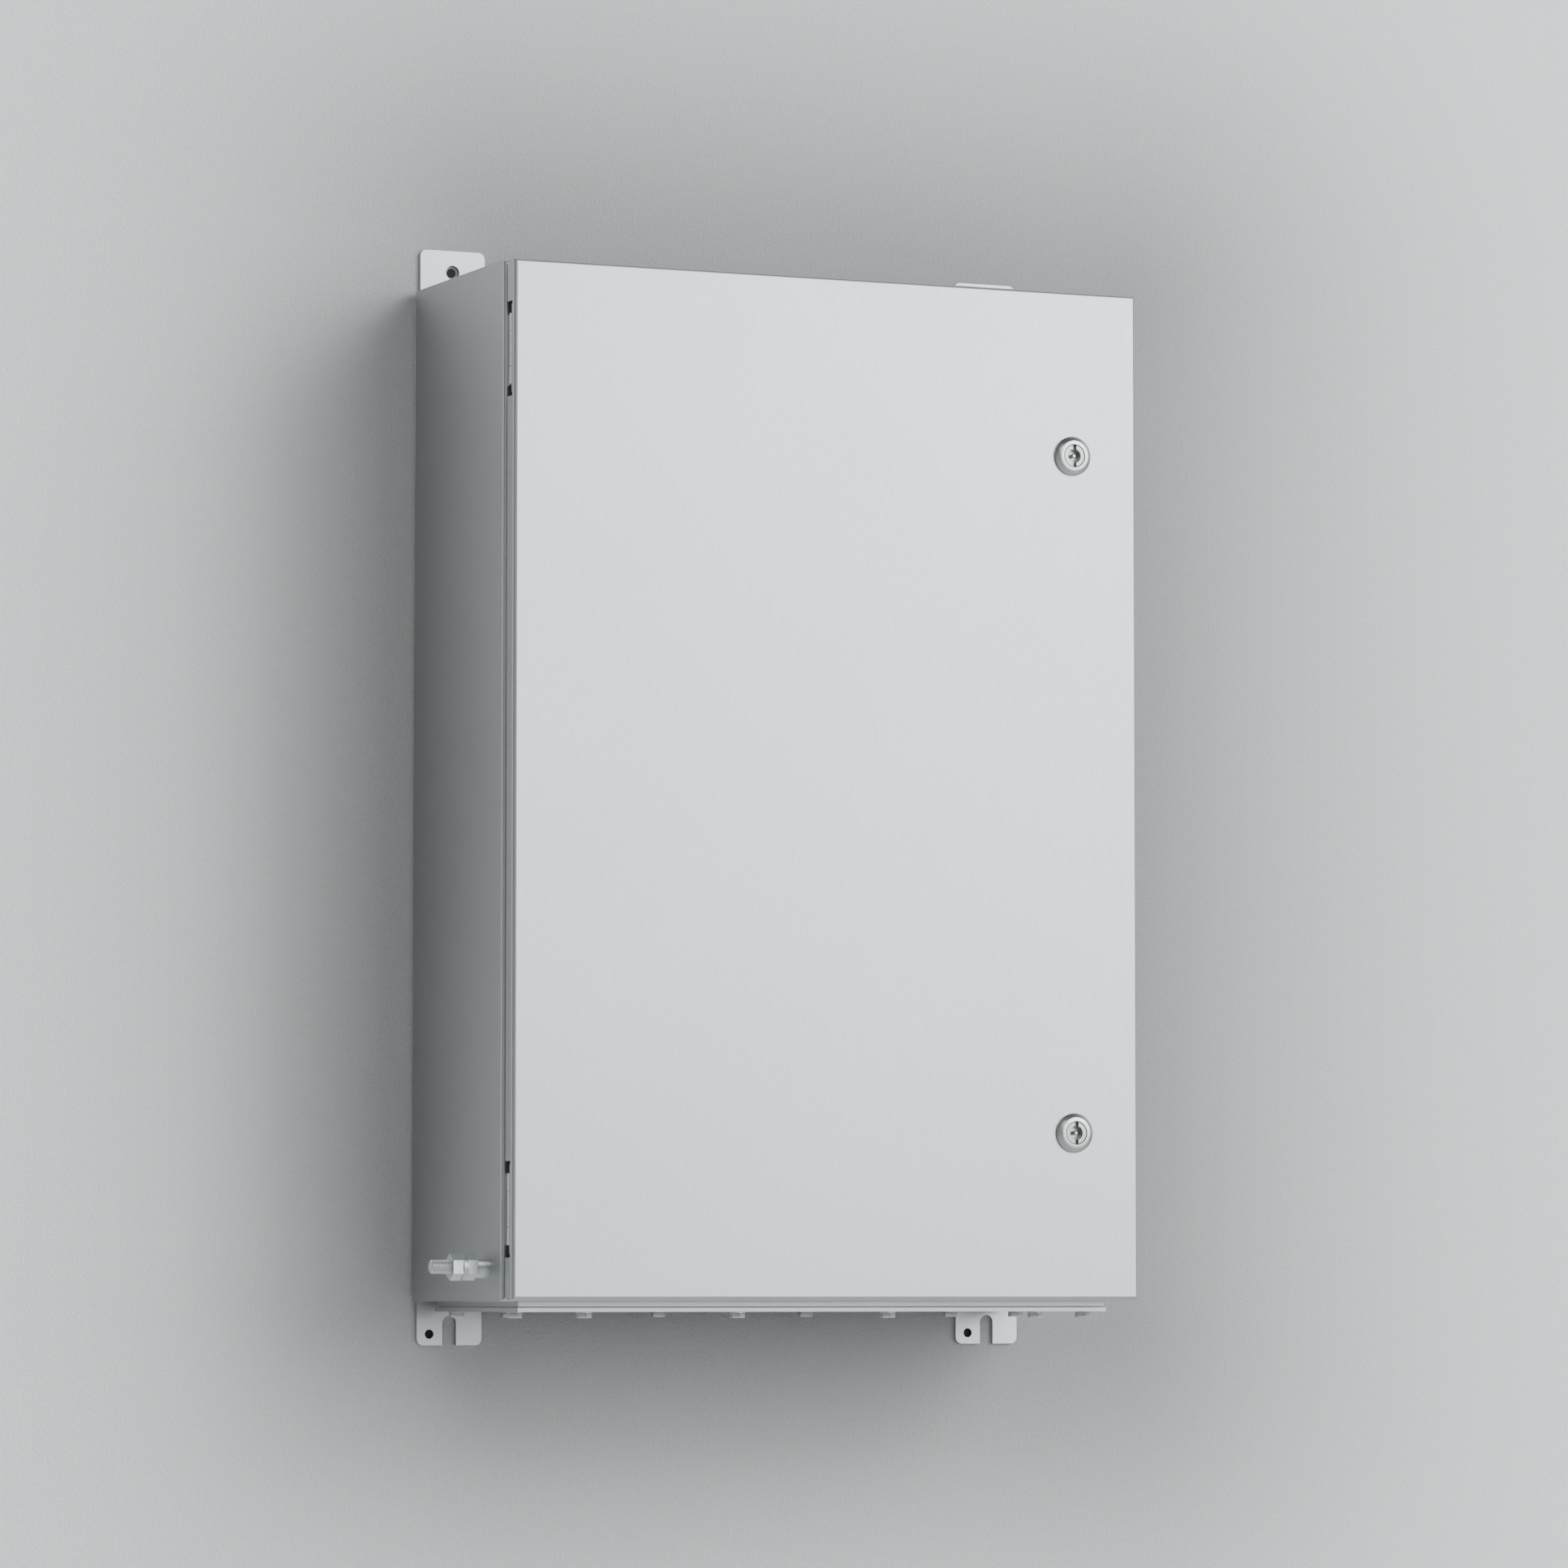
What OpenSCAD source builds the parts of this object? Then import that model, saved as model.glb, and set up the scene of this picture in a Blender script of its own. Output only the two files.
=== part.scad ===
// Automatic transfer switch in a stainless wall enclosure.
// Millimetres. X runs to the right, Y into the wall, Z up.
// The origin is midway between the two upper wall holes, on the wall plane.

/* [Enclosure] */
// Width of the body
body_w = 508; // [480:1:640]
// Height of the body
body_h = 762; // [750:1:950]
// Depth from the back panel to the door's front face
total_d = 205; // [200:1:260]
// Sheet thickness of body and door
sheet = 1.5; // [1.2:0.1:2]
// Outside radius of every sheet bend
bend_r = 3; // [2:0.5:4]
// How far the door's edges stand inside the body's outline
door_inset = 0.8; // [0.5:0.1:2]
// Depth of the door's folded returns, from its front face
return_d = 13.2; // [11:0.1:15]
// Distance from the door's front face back to the body's front flange
flange_set = 18.5; // [17:0.5:20]
// Distance from the body's side to the rim lip around the opening
rim_inset = 14; // [13:0.5:18]
// Height of the rim lip in front of the flange
rim_h = 10; // [8:0.5:11]
// Width of the foam gasket
gasket_w = 11; // [8:1:11]

/* [Hinges and locks] */
// Distance of each hinge's middle from the door's nearer end
hinge_z = 66; // [60:1:120]
// Length of a hinge barrel
barrel_l = 52; // [45:1:60]
// Length of the middle knuckle
knuckle_l = 26; // [20:1:30]
// Radius of the hinge barrel
barrel_r = 3.5; // [3:0.1:4]
// Radius of the hinge pin
hinge_pin_r = 1.75; // [1.5:0.05:2]
// Running clearance of the hinge pin in the door knuckle
pin_clear = 0.05; // [0.02:0.01:0.1]
// Length of the cut-out in the door's return
hinge_cut_l = 70; // [64:1:90]
// Distance of the lock axis from the door's right edge
lock_x_inset = 54; // [50:1:70]
// Distance of each lock axis from the door's nearer end
lock_z = 125; // [110:1:200]
// Radius of the lock's bezel at the door
bezel_r = 14.8; // [13:0.1:18]
// How far the bezel stands in front of the door
bezel_h = 4.8; // [3:0.1:8]
// Radius of the turning insert's head
insert_r = 8.5; // [7:0.1:10]
// Running clearance of the insert in its housing
insert_clear = 0.08; // [0.02:0.01:0.1]
// Length of the cam from the lock axis
cam_l = 47; // [46:1:49]

/* [Wall brackets] */
// Thickness of a bracket, which stands the body off the wall
bracket_t = 3; // [2:0.5:5]
// Width of a bracket
bracket_w = 52; // [50:1:60]
// Distance of a bracket's middle from the body's side
bracket_inset = 31; // [30:1:60]
// How far a bracket reaches past the body
bracket_reach = 33; // [30:1:45]
// Length of a bracket behind the body
bracket_tail = 60; // [50:1:90]
// Distance from the body's end to the wall hole or slot centre
fixing_rise = 16.5; // [14:0.5:20]
// Radius of the wall hole and half width of the slot
wall_hole_r = 5.5; // [4:0.5:6]
// Radius of the small locking hole
pilot_hole_r = 3.5; // [2:0.5:4]

/* [Gland plate] */
// Width of the gland plate
gland_w = 478; // [450:1:478]
// Depth of the gland plate
gland_d = 168; // [150:1:168]
// Thickness of the gland plate
gland_t = 3; // [2:0.5:4]
// Thickness of the welded gland frame
gland_frame_t = 3.6; // [3:0.1:6]
// Thickness of the gland gasket
gland_gasket_t = 1; // [1:0.5:2]
// Width of the bolting border around the cable opening
gland_border = 17; // [16:1:22]
// Distance of the bolts from the plate's edge
gland_bolt_edge = 8; // [7:0.5:9]
// Pitch of the bolts along the long sides
gland_pitch_x = 122; // [110:1:130]
// Pitch of the bolts along the short sides
gland_pitch_y = 118; // [100:1:120]

/* [Earth stud] */
// Distance of the outer earth stud behind the door's front face
stud_y = 48; // [40:1:80]
// Height of the outer earth stud above the body's bottom
stud_z = 25; // [20:1:60]
// Radius of the M10 thread
stud_r = 5; // [4:0.5:6]
// How far the stud stands out of the side panel
stud_reach = 44; // [40:1:60]
// Radius of the welded boss
boss_r = 8; // [7:0.5:12]
// Length of the welded boss
boss_l = 10; // [8:1:15]

/* [Mounting plate] */
// Width of the mounting plate
plate_w = 440; // [430:1:446]
// Height of the mounting plate
plate_h = 690; // [690:1:720]
// Thickness of the mounting plate
plate_t = 2; // [1.5:0.5:3]
// Distance from the back panel's inside to the mounting plate
plate_stand = 14; // [10:1:20]

/* [Changeover switch] */
// Side of a switch deck
deck_w = 110; // [100:1:120]
// Thickness of a switch deck, one pole each
deck_t = 22; // [20:1:24]
// Radius of the changeover shaft
shaft_r = 8; // [6:0.5:9]
// Turn of the shaft from off to either source
throw_deg = 45; // [30:1:45]
// Running clearance of shafts in their bearings
bearing_clear = 0.05; // [0.02:0.01:0.1]
// Outside radius of a power cable
cable_r = 5; // [3:0.5:5.5]

/* [Hidden] */
$fn = 64;
eps = 0.01;
// Small gap that keeps faces of moving pieces apart
air = 0.5;
// Seam between stacked pieces of one node, which keeps them separate solids
seam = 0.05;
// How far a cutting body runs past the piece it cuts
over = 1;

// Enclosure planes
y_back = -bracket_t;
y_door = y_back - total_d;
y_door_in = y_door + sheet;
y_flange = y_door + flange_set;
y_rim = y_flange - rim_h;
y_inner = y_back - sheet;
z_top = -fixing_rise;
z_bot = z_top - body_h;
z_mid = (z_top + z_bot) / 2;
x_side = body_w / 2;
x_in = x_side - sheet;
door_x = x_side - door_inset;
door_top = z_top - door_inset;
door_bot = z_bot + door_inset;
rim_x = x_side - rim_inset;
rim_top = z_top - rim_inset;
rim_bot = z_bot + rim_inset;
gasket_t = y_rim - y_door_in;
bracket_x = x_side - bracket_inset;

// Gland plate stack, placed from the back panel
gland_back = 11;
gland_y = y_back - gland_back - gland_d / 2;
gland_lip = 1.8;
z_frame = z_bot - gland_frame_t;
z_gasket = z_frame - gland_gasket_t;
z_gland = z_gasket - gland_t;
bolt_r = 3;
bolt_clear = 0.3;
thread_gap = 0.05;
m6_flats = 10;
m6_washer_r = 6;
gland_washer_t = 1;
gland_head_t = 3.6;
gland_bolt_past = 2;

// Wall brackets and the screws that hold them
bracket_corner = 5;
screw_steps = [20, 45];
screw_washer_t = 1.2;
screw_head_t = 3.8;
screw_short = 0.3;
pilot_x = 10;
pilot_rise = 8.3;

// Nuts and washers of the outer earth stud
stud_flats = 17;
lock_nut_t = 7.3;
stud_washer_t = 1.8;
stud_washer_r = 9.8;
stud_nut_t = 8;
stud_chamfer = 1;
// Thread relief just outside the outer nut
relief_l = 1.5;
relief_depth = 0.6;
x_nut_in = -x_side - boss_l;
x_washer = x_nut_in - lock_nut_t;
x_nut_out = x_washer - 2 * stud_washer_t;
x_nuts_end = x_nut_out - stud_nut_t;
x_stud_tip = -x_side - stud_reach;

// Hinge axis
hinge_x = -door_x + barrel_r + 0.1;
hinge_back = 9;
hinge_y = y_door + hinge_back;
leaf_t = 2;
hinge_cut_front = 5;
knuckle_gap = 0.4;
relief_r = 1.4;
leaf_gap = 0.5;
drain_l = 16;
drain_front = 5;
drain_h = 3;
corner_cut = 1.2;
corner_cut_h = 2.4;

// Locks
lock_x = door_x - lock_x_inset;
lock_zs = [door_top - lock_z, door_bot + lock_z];
sleeve_r = 11;
sleeve_gap = 0.1;
stem_r = 6;
y_sleeve_end = y_flange - 0.5;
bezel_rim = 1.8;
bezel_front_r = 11.9;
insert_sink = 0.3;
insert_head_back = 2;
key_recess = 6;
key_recess_r = 5;
key_slot_half = 1.7;
key_slot_d = 3;
key_pin_r = 1.5;
key_pin_sink = 0.8;
cam_t = 3;
cam_gap = 1.3;
y_cam = y_flange + sheet + cam_gap;
cam_half = 8;
cam_back = 11;
cam_corner = 5;
cam_fit = 0.05;
square_half = 4;
square_start = 0.2;
cam_nut_r = 7;
cam_nut_t = 3;
nut_t = 5;
lock_nut_flats = 27;

// Mounting plate
y_plate_back = y_inner - plate_stand;
y_plate = y_plate_back - plate_t;
plate_stud_x = plate_w / 2 - 14;
plate_stud_z = plate_h / 2 - 14;
plate_stud_r = 4;
plate_hole_gap = 0.5;
plate_corner = 6;
plate_stud_out = 10;
plate_collar_r = 8;
plate_washer_r = 9;
plate_washer_t = 1.6;
plate_nut_flats = 13;
plate_nut_out = 8;
rail_h = 7.5;
rail_w = 35;
rail_t = 1;
rail_waist = 27;
y_rail = y_plate - rail_h;
// Devices clip on with their backs against the rail's front
y_device = y_rail;

// Rows of devices, measured down from the plate's top
z_plate_top = z_mid + plate_h / 2;
z_duct_top = z_plate_top - 40;
z_rail_a = z_duct_top - 65;
z_duct_mid = z_rail_a - 65;
z_switch = z_duct_mid - 155;
z_rail_b = z_switch - 220;
z_earth = z_rail_b - 78;
duct_w = 30;
duct_d = 50;
duct_wall = 1.5;
duct_x = plate_w / 2 - 20;
duct_pitch = 15;
duct_slot = 7;
duct_foot = 14;
duct_low = z_switch - 130;
duct_lid_t = 1.6;
duct_lid_grow = 0.4;
// Half length of the horizontal ducts, which stop at the vertical ones
duct_inner = duct_x - duct_w / 2 - 1;
// Half lengths of the rails; the upper one ends short of the vertical ducts
rail_a_x = duct_inner;
rail_b_x = 195;

// Changeover switch stack
base_t = 3;
foot_gap = 2.5;
y_decks = y_plate - base_t - foot_gap;
poles = 4;
y_stack = y_decks - poles * deck_t;
y_gearbox = y_stack;
gearbox_d = 34;
gearbox_wall = 3;
y_cover = y_gearbox - gearbox_d;
cover_t = 3;
y_face = y_cover - cover_t;
rotor_r = 26;
rotor_chamber_r = 40;
blade_r = 34;
blade_t = 4;
blade_w = 12;
deck_corner = 8;
chamber_wall = 2;
contact_fit = 0.05;
groove_rise = 24;
groove_half = 8;
groove_half_y = 4;
groove_sink = 2;
ring_gap = 3;
rotor_gap = 3;
// The fixed contacts start just past the corners of the blades' tips
contact_gap = 0.4;
contact_r = norm([blade_r, blade_w / 2]) + contact_gap;
bar_t = 3;
bar_w = 14;
bar_step = 18;
bar_first = 16;
// Turns about Y of the fixed contacts: source 2, load and source 1
contact_turns = [0, 90, 180];
// Turns of the moving blades in the off position
blade_turns = [45, 135];
ring_r = 15;
tie_inset = 9;
tie_r = 2.5;
tie_clear = 0.3;
base_margin = 6;
base_corner = 4;
foot_r = 6;
lug_inset = 7;
lug_hole_r = 3.1;
lug_half = 6;
lug_palm_t = 2.5;
lug_tip = 7;
lug_gap = 0.02;
nut_m6_t = 4;

// Gear train: pinion, idler and main gear in one vertical line
tooth_m = 1.5;
main_teeth = 48;
idler_teeth = 24;
pinion_teeth = 12;
press_angle = 25;
backlash = 0.25;
pinion_shaft_r = 2.5;
idler_pin_r = 3;
gear_t = 8;
idler_z = z_switch + (main_teeth + idler_teeth) * tooth_m / 2;
pinion_z = idler_z + (idler_teeth + pinion_teeth) * tooth_m / 2;
y_gear = y_gearbox - gearbox_wall - 4 - gear_t;
gearbox_x = 50;
gearbox_low = z_switch - 50;
gearbox_high = pinion_z + 30;
motor_r = 21;
motor_l = 62;
motor_neck = 16;
motor_bore = 12;
motor_boss_r = 6;
motor_boss_l = 3;
gearbox_corner = 8;

// Manual handle
handle_gap = 1.5;
hub_r = 14;
hub_l = 18;
hub_wall = 3;
lever_l = 52;

// Mode selector beside the handle
selector_x = 34;
selector_z = pinion_z + 8;
selector_r = 7;
selector_out = 10;
selector_grip = 3;
selector_stem_r = selector_r - 2;

// Row A devices, left edges
breaker_w = 36;
breaker_x = [-176, -139];
breaker_d = 44;
relay_x = [-98, -72];
relay_w = 24;
controller_x = -40;
controller_w = 144;
controller_h = 90;
terminal_x = 112;
terminal_w = 6;
terminal_n = 9;
row_h = 86;
toggle_y = y_device - breaker_d - 10;
toggle_z = z_rail_a + 2;
toggle_r = 7;
pivot_r = 2;
button_r = 4;
button_xs = [controller_x + 92, controller_x + 108, controller_x + 124];
button_z = z_rail_a - 22;
controller_d = 46;
y_controller = y_device - controller_d;
bezel_t = 3;

// Parts of the controller's front
window_lo = [12, -6];
window_hi = [74, 26];
window_fit = 0.1;
window_sink = 0.3;
recess_d = 2;
lamp_x = 88;
lamp_pitch = 10;
lamp_n = 5;
lamp_z = 16;
lamp_r = 1.5;
lamp_hole_r = 1.6;
button_clear = 0.3;

// Power terminals
power_w = 21;
power_h = 60;
power_d = 50;
power_pitch = 22;
well_z = 19;
well_r = 4.6;
well_d = 17;
mouth_gap = 0.3;
mouth_d = 12;
y_mouth = y_device - power_d / 2 - 2;
cable_stop = 1;
cable_straight = 3;

// Earth bar
earth_n = 9;
earth_pitch = 18;
earth_half = 90;
earth_half_h = 7;
earth_front = 26;
earth_back = 20;
earth_foot_x = 82;
earth_foot_r = 5;
earth_hole_r = 2.2;
power_groups = [-126, 0, 126];

// Door bonding strap
strap_z = z_bot + 180;
strap_w = 10;
strap_t = 2;
strap_body_y = y_flange + 24;
strap_door_x = -x_side + 45;
bond_r = 3;
bond_l = 16;
bond_collar_r = 5.5;
bond_collar_l = 4;
bond_nut_lo = 6.4;
bond_nut_hi = 11;
strap_seat = 4.2;
strap_lug = 5.5;
strap_reach_x = 26;
strap_reach_y = 14;
strap_hole_gap = 0.1;

// ---------------------------------------------------------------- helpers

// A box from its low corner to its high corner
module block(lo, hi) {
  translate(lo) cube(hi - lo);
}

// A cylinder along Y from y0 to y1
module rod_y(r, x, z, y0, y1) {
  translate([x, y0, z]) rotate([-90, 0, 0]) cylinder(r = r, h = y1 - y0);
}

// A cylinder along X from x0 to x1
module rod_x(r, x0, x1, y, z) {
  translate([x0, y, z]) rotate([0, 90, 0]) cylinder(r = r, h = x1 - x0);
}

// A cylinder along Z from z0 to z1
module rod_z(r, x, y, z0, z1) {
  translate([x, y, z0]) cylinder(r = r, h = z1 - z0);
}

// A hexagon nut or head along Y, measured across its flats
module hex_y(flats, x, z, y0, y1) {
  translate([x, y0, z]) rotate([-90, 0, 0])
    cylinder(r = flats / sqrt(3), h = y1 - y0, $fn = 6);
}

// A hexagon along X with a flat towards the front
module hex_x(flats, x0, x1, y, z) {
  translate([x0, y, z]) rotate([0, 90, 0])
    cylinder(r = flats / sqrt(3), h = x1 - x0, $fn = 6);
}

// A rectangle whose four corners are true arcs
module soft_rect(lo, hi, r) {
  translate([lo[0] + r, lo[1]]) square([hi[0] - lo[0] - 2 * r, hi[1] - lo[1]]);
  translate([lo[0], lo[1] + r]) square([hi[0] - lo[0], hi[1] - lo[1] - 2 * r]);
  for (x = [lo[0] + r, hi[0] - r], y = [lo[1] + r, hi[1] - r])
    translate([x, y]) circle(r = r);
}

// A block with true round edges along Z
module post(lo, hi, r) {
  translate([0, 0, lo[2]]) linear_extrude(hi[2] - lo[2])
    soft_rect([lo[0], lo[1]], [hi[0], hi[1]], r);
}

// A block with true round edges along Y
module slab(lo, hi, r) {
  translate([0, hi[1], 0]) rotate([90, 0, 0]) linear_extrude(hi[1] - lo[1])
    soft_rect([lo[0], lo[2]], [hi[0], hi[2]], r);
}

// A block with true round edges along X
module beam(lo, hi, r) {
  translate([lo[0], 0, 0]) rotate([90, 0, 90]) linear_extrude(hi[0] - lo[0])
    soft_rect([lo[1], lo[2]], [hi[1], hi[2]], r);
}

// A block whose edges along X and along Z are both round, as folded sheet is
module folded(lo, hi, r) {
  intersection() {
    post(lo, hi, r);
    beam(lo, hi, r);
  }
}

// A rectangular ring seen from the front
module frame_y(lo, hi, width) {
  difference() {
    block(lo, hi);
    block([lo[0] + width, lo[1] - over, lo[2] + width],
          [hi[0] - width, hi[1] + over, hi[2] - width]);
  }
}

// Bolt positions around the gland plate
function gland_bolt_spots() =
  let (edge_y = gland_d / 2 - gland_bolt_edge, edge_x = gland_w / 2 - gland_bolt_edge)
  concat(
    [for (i = [-1.5:1:1.5], s = [-1, 1]) [i * gland_pitch_x, gland_y + s * edge_y]],
    [for (s = [-1, 1], t = [-1, 1]) [s * edge_x, gland_y + t * gland_pitch_y / 2]]);

// Screw positions on the brackets: x and z
function bracket_screw_spots() = [
  for (s = [-1, 1], a = screw_steps) each [
    [s * bracket_x, z_top - a],
    [s * bracket_x, z_bot + a]
  ]
];

// Mounting plate stud positions
function plate_stud_spots() =
  [for (s = [-1, 1], t = [-1, 1]) [s * plate_stud_x, z_mid + t * plate_stud_z]];

// Tie rod positions of the switch stack
function tie_spots() =
  [for (s = [-1, 1], t = [-1, 1])
    [s * (deck_w / 2 - tie_inset), z_switch + t * (deck_w / 2 - tie_inset)]];

// Middle of pole k in depth
function pole_y(k) = y_decks - (k + 0.5) * deck_t;

// How far the contact bar of pole k stands out of its deck
function bar_out(k) = bar_first + bar_step * (poles - 1 - k);

// Lug centre of pole k on the left, bottom and right sides
function lug_at(side, k) =
  let (reach = deck_w / 2 + bar_out(k) - lug_inset)
  side == 0 ? [-reach, pole_y(k), z_switch]
  : side == 1 ? [0, pole_y(k), z_switch - reach]
  : [reach, pole_y(k), z_switch];

// Power terminal centre for a side and pole, with no two cables crossing
function terminal_col(side, k) =
  power_groups[side] + power_pitch * (side == 2 ? 1.5 - k : k - 1.5);

// ---------------------------------------------------------------- gears

// Involute of the pressure angle, in degrees
function inv_deg(a) = tan(a) * 180 / PI - a;

// Half the tooth's angle at radius r
function half_tooth(r, n) =
  let (rp = n * tooth_m / 2, rb = rp * cos(press_angle),
       a = r <= rb ? 0 : acos(rb / r))
  90 / n - backlash / 2 / rp * 180 / PI + inv_deg(press_angle) - inv_deg(a);

// One tooth's outline, root to tip and back
function tooth_points(n, turn) =
  let (rp = n * tooth_m / 2, rf = rp - 1.1 * tooth_m, ra = rp + 0.8 * tooth_m,
       steps = 4, rise = (ra - rf) / steps)
  concat(
    [for (i = [0:steps]) let (r = rf + i * rise, a = turn - half_tooth(r, n))
      [r * cos(a), r * sin(a)]],
    [for (i = [steps:-1:0]) let (r = rf + i * rise, a = turn + half_tooth(r, n))
      [r * cos(a), r * sin(a)]]);

// A spur gear in the XZ plane with a tooth at angle "turn" from +X
module spur_gear(n, turn, bore, x, z, y0, y1) {
  outline = [for (i = [0:n - 1]) each tooth_points(n, turn + i * 360 / n)];
  translate([x, y1, z]) rotate([90, 0, 0]) difference() {
    linear_extrude(y1 - y0) polygon(outline);
    translate([0, 0, -1]) cylinder(r = bore, h = y1 - y0 + 2);
  }
}

// ---------------------------------------------------------------- cables

// A point on the cubic curve through a lug's and a terminal's tangents
function bezier(p, t) =
  pow(1 - t, 3) * p[0] + 3 * t * pow(1 - t, 2) * p[1]
  + 3 * t * t * (1 - t) * p[2] + pow(t, 3) * p[3];

// A round cable whose rings stay level, for routes that run mostly down. It
// follows the curve, then goes straight to its end.
module hanging_cable(p, end, r) {
  rings = 15;
  sides = 10;
  path = [for (i = [0:rings]) i < rings ? bezier(p, i / (rings - 1)) : end];
  points = [for (c = path, j = [0:sides - 1])
    c + r * [cos(360 * j / sides), sin(360 * j / sides), 0]];
  skin = [for (i = [0:rings - 1], j = [0:sides - 1])
    let (n = (j + 1) % sides)
    [i * sides + j, i * sides + n, (i + 1) * sides + n, (i + 1) * sides + j]];
  polyhedron(points, concat(skin,
    [[for (j = [sides - 1:-1:0]) j]],
    [[for (j = [0:sides - 1]) rings * sides + j]]));
}

// ---------------------------------------------------------------- enclosure

module housing_shell() {
  color([0.78, 0.80, 0.82]) difference() {
    union() {
      difference() {
        folded([-x_side, y_flange, z_bot], [x_side, y_back, z_top], bend_r);
        folded([-x_in, y_flange + sheet, z_bot + sheet],
               [x_in, y_inner, z_top - sheet], bend_r - sheet);
        block([-rim_x, y_flange - over, rim_bot], [rim_x, y_flange + sheet + over, rim_top]);
      }
      frame_y([-rim_x - eps, y_rim, rim_bot - eps],
              [rim_x + eps, y_flange + sheet, rim_top + eps], sheet + eps);
    }
    // Cable opening in the bottom
    block([-gland_w / 2 + gland_border, gland_y - gland_d / 2 + gland_border, z_bot - over],
          [gland_w / 2 - gland_border, gland_y + gland_d / 2 - gland_border, z_bot + sheet + over]);
    for (p = gland_bolt_spots())
      rod_z(bolt_r + bolt_clear, p[0], p[1], z_bot - over, z_bot + sheet + over);
    for (p = bracket_screw_spots())
      rod_y(bolt_r + bolt_clear, p[0], p[1], y_inner - over, y_back + over);
  }
}

module gland_frame() {
  lo = [-gland_w / 2 + gland_lip, gland_y - gland_d / 2 + gland_lip, z_frame];
  hi = [gland_w / 2 - gland_lip, gland_y + gland_d / 2 - gland_lip, z_bot];
  color([0.74, 0.76, 0.78]) gland_ring(lo, hi, thread_gap);
}

module gland_gasket() {
  lo = [-gland_w / 2 + gland_lip, gland_y - gland_d / 2 + gland_lip, z_gasket];
  hi = [gland_w / 2 - gland_lip, gland_y + gland_d / 2 - gland_lip, z_frame];
  color([0.55, 0.56, 0.57]) gland_ring(lo, hi, bolt_clear);
}

// A ring around the cable opening with its bolt holes
module gland_ring(lo, hi, gap) {
  inner = gland_border - gland_lip;
  difference() {
    block(lo, hi);
    block([lo[0] + inner, lo[1] + inner, lo[2] - over],
          [hi[0] - inner, hi[1] - inner, hi[2] + over]);
    for (p = gland_bolt_spots())
      rod_z(bolt_r + gap, p[0], p[1], lo[2] - over, hi[2] + over);
  }
}

module gland_plate() {
  color([0.76, 0.78, 0.80]) difference() {
    post([-gland_w / 2, gland_y - gland_d / 2, z_gland],
         [gland_w / 2, gland_y + gland_d / 2, z_gasket], 1);
    for (p = gland_bolt_spots())
      rod_z(bolt_r + bolt_clear, p[0], p[1], z_gland - over, z_gasket + over);
  }
}

module gland_bolts() {
  seat = z_gland - gland_washer_t;
  color([0.80, 0.81, 0.82]) for (p = gland_bolt_spots()) {
    difference() {
      rod_z(m6_washer_r, p[0], p[1], seat, z_gland);
      rod_z(bolt_r + bolt_clear, p[0], p[1], seat - over, z_gland + over);
    }
    rod_z(bolt_r, p[0], p[1], seat - eps, z_bot + sheet + gland_bolt_past);
    translate([p[0], p[1], seat - gland_head_t])
      cylinder(r = m6_flats / sqrt(3), h = gland_head_t, $fn = 6);
  }
}

module upper_wall_brackets() {
  color([0.80, 0.81, 0.82]) for (s = [-1, 1]) difference() {
    slab([s * bracket_x - bracket_w / 2, y_back, z_top - bracket_tail],
         [s * bracket_x + bracket_w / 2, 0, z_top + bracket_reach], bracket_corner);
    rod_y(wall_hole_r, s * bracket_x, 0, y_back - over, over);
    for (a = screw_steps)
      rod_y(bolt_r + thread_gap, s * bracket_x, z_top - a, y_back - over, over);
  }
}

module lower_wall_brackets() {
  slot_z = z_bot - fixing_rise;
  color([0.80, 0.81, 0.82]) for (s = [-1, 1]) difference() {
    slab([s * bracket_x - bracket_w / 2, y_back, z_bot - bracket_reach],
         [s * bracket_x + bracket_w / 2, 0, z_bot + bracket_tail], bracket_corner);
    rod_y(wall_hole_r, s * bracket_x, slot_z, y_back - over, over);
    block([s * bracket_x - wall_hole_r, y_back - over, z_bot - bracket_reach - over],
          [s * bracket_x + wall_hole_r, over, slot_z]);
    rod_y(pilot_hole_r, s * bracket_x - bracket_w / 2 + pilot_x,
          z_bot - bracket_reach + pilot_rise, y_back - over, over);
    for (a = screw_steps)
      rod_y(bolt_r + thread_gap, s * bracket_x, z_bot + a, y_back - over, over);
  }
}

module bracket_screws() {
  color([0.70, 0.71, 0.72]) for (p = bracket_screw_spots()) {
    seat = y_inner - screw_washer_t;
    rod_y(bolt_r, p[0], p[1], seat, -screw_short);
    rod_y(m6_washer_r, p[0], p[1], seat, y_inner);
    hex_y(m6_flats, p[0], p[1], seat - screw_head_t, seat + eps);
  }
}

module earth_stud() {
  y = y_door + stud_y;
  z = z_bot + stud_z;
  color([0.80, 0.81, 0.82]) {
    rod_x(stud_r, x_nuts_end, -x_side, y, z);
    rod_x(stud_r - relief_depth, x_nuts_end - relief_l - eps, x_nuts_end + eps, y, z);
    rod_x(stud_r, x_stud_tip + stud_chamfer, x_nuts_end - relief_l, y, z);
    translate([x_stud_tip, y, z]) rotate([0, 90, 0])
      cylinder(r1 = stud_r - stud_chamfer, r2 = stud_r, h = stud_chamfer + eps);
    rod_x(boss_r, x_nut_in, -x_side, y, z);
  }
}

// Lock nut, two washers and outer nut, stacked outwards from the boss
module earth_stud_nuts() {
  y = y_door + stud_y;
  z = z_bot + stud_z;
  color([0.78, 0.79, 0.80]) {
    stud_ring() hex_x(stud_flats, x_washer + seam, x_nut_in, y, z);
    for (i = [0, 1])
      stud_ring()
        rod_x(stud_washer_r, x_washer - (i + 1) * stud_washer_t + seam,
              x_washer - i * stud_washer_t, y, z);
    stud_ring() hex_x(stud_flats, x_nuts_end, x_nut_out, y, z);
  }
}

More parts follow.
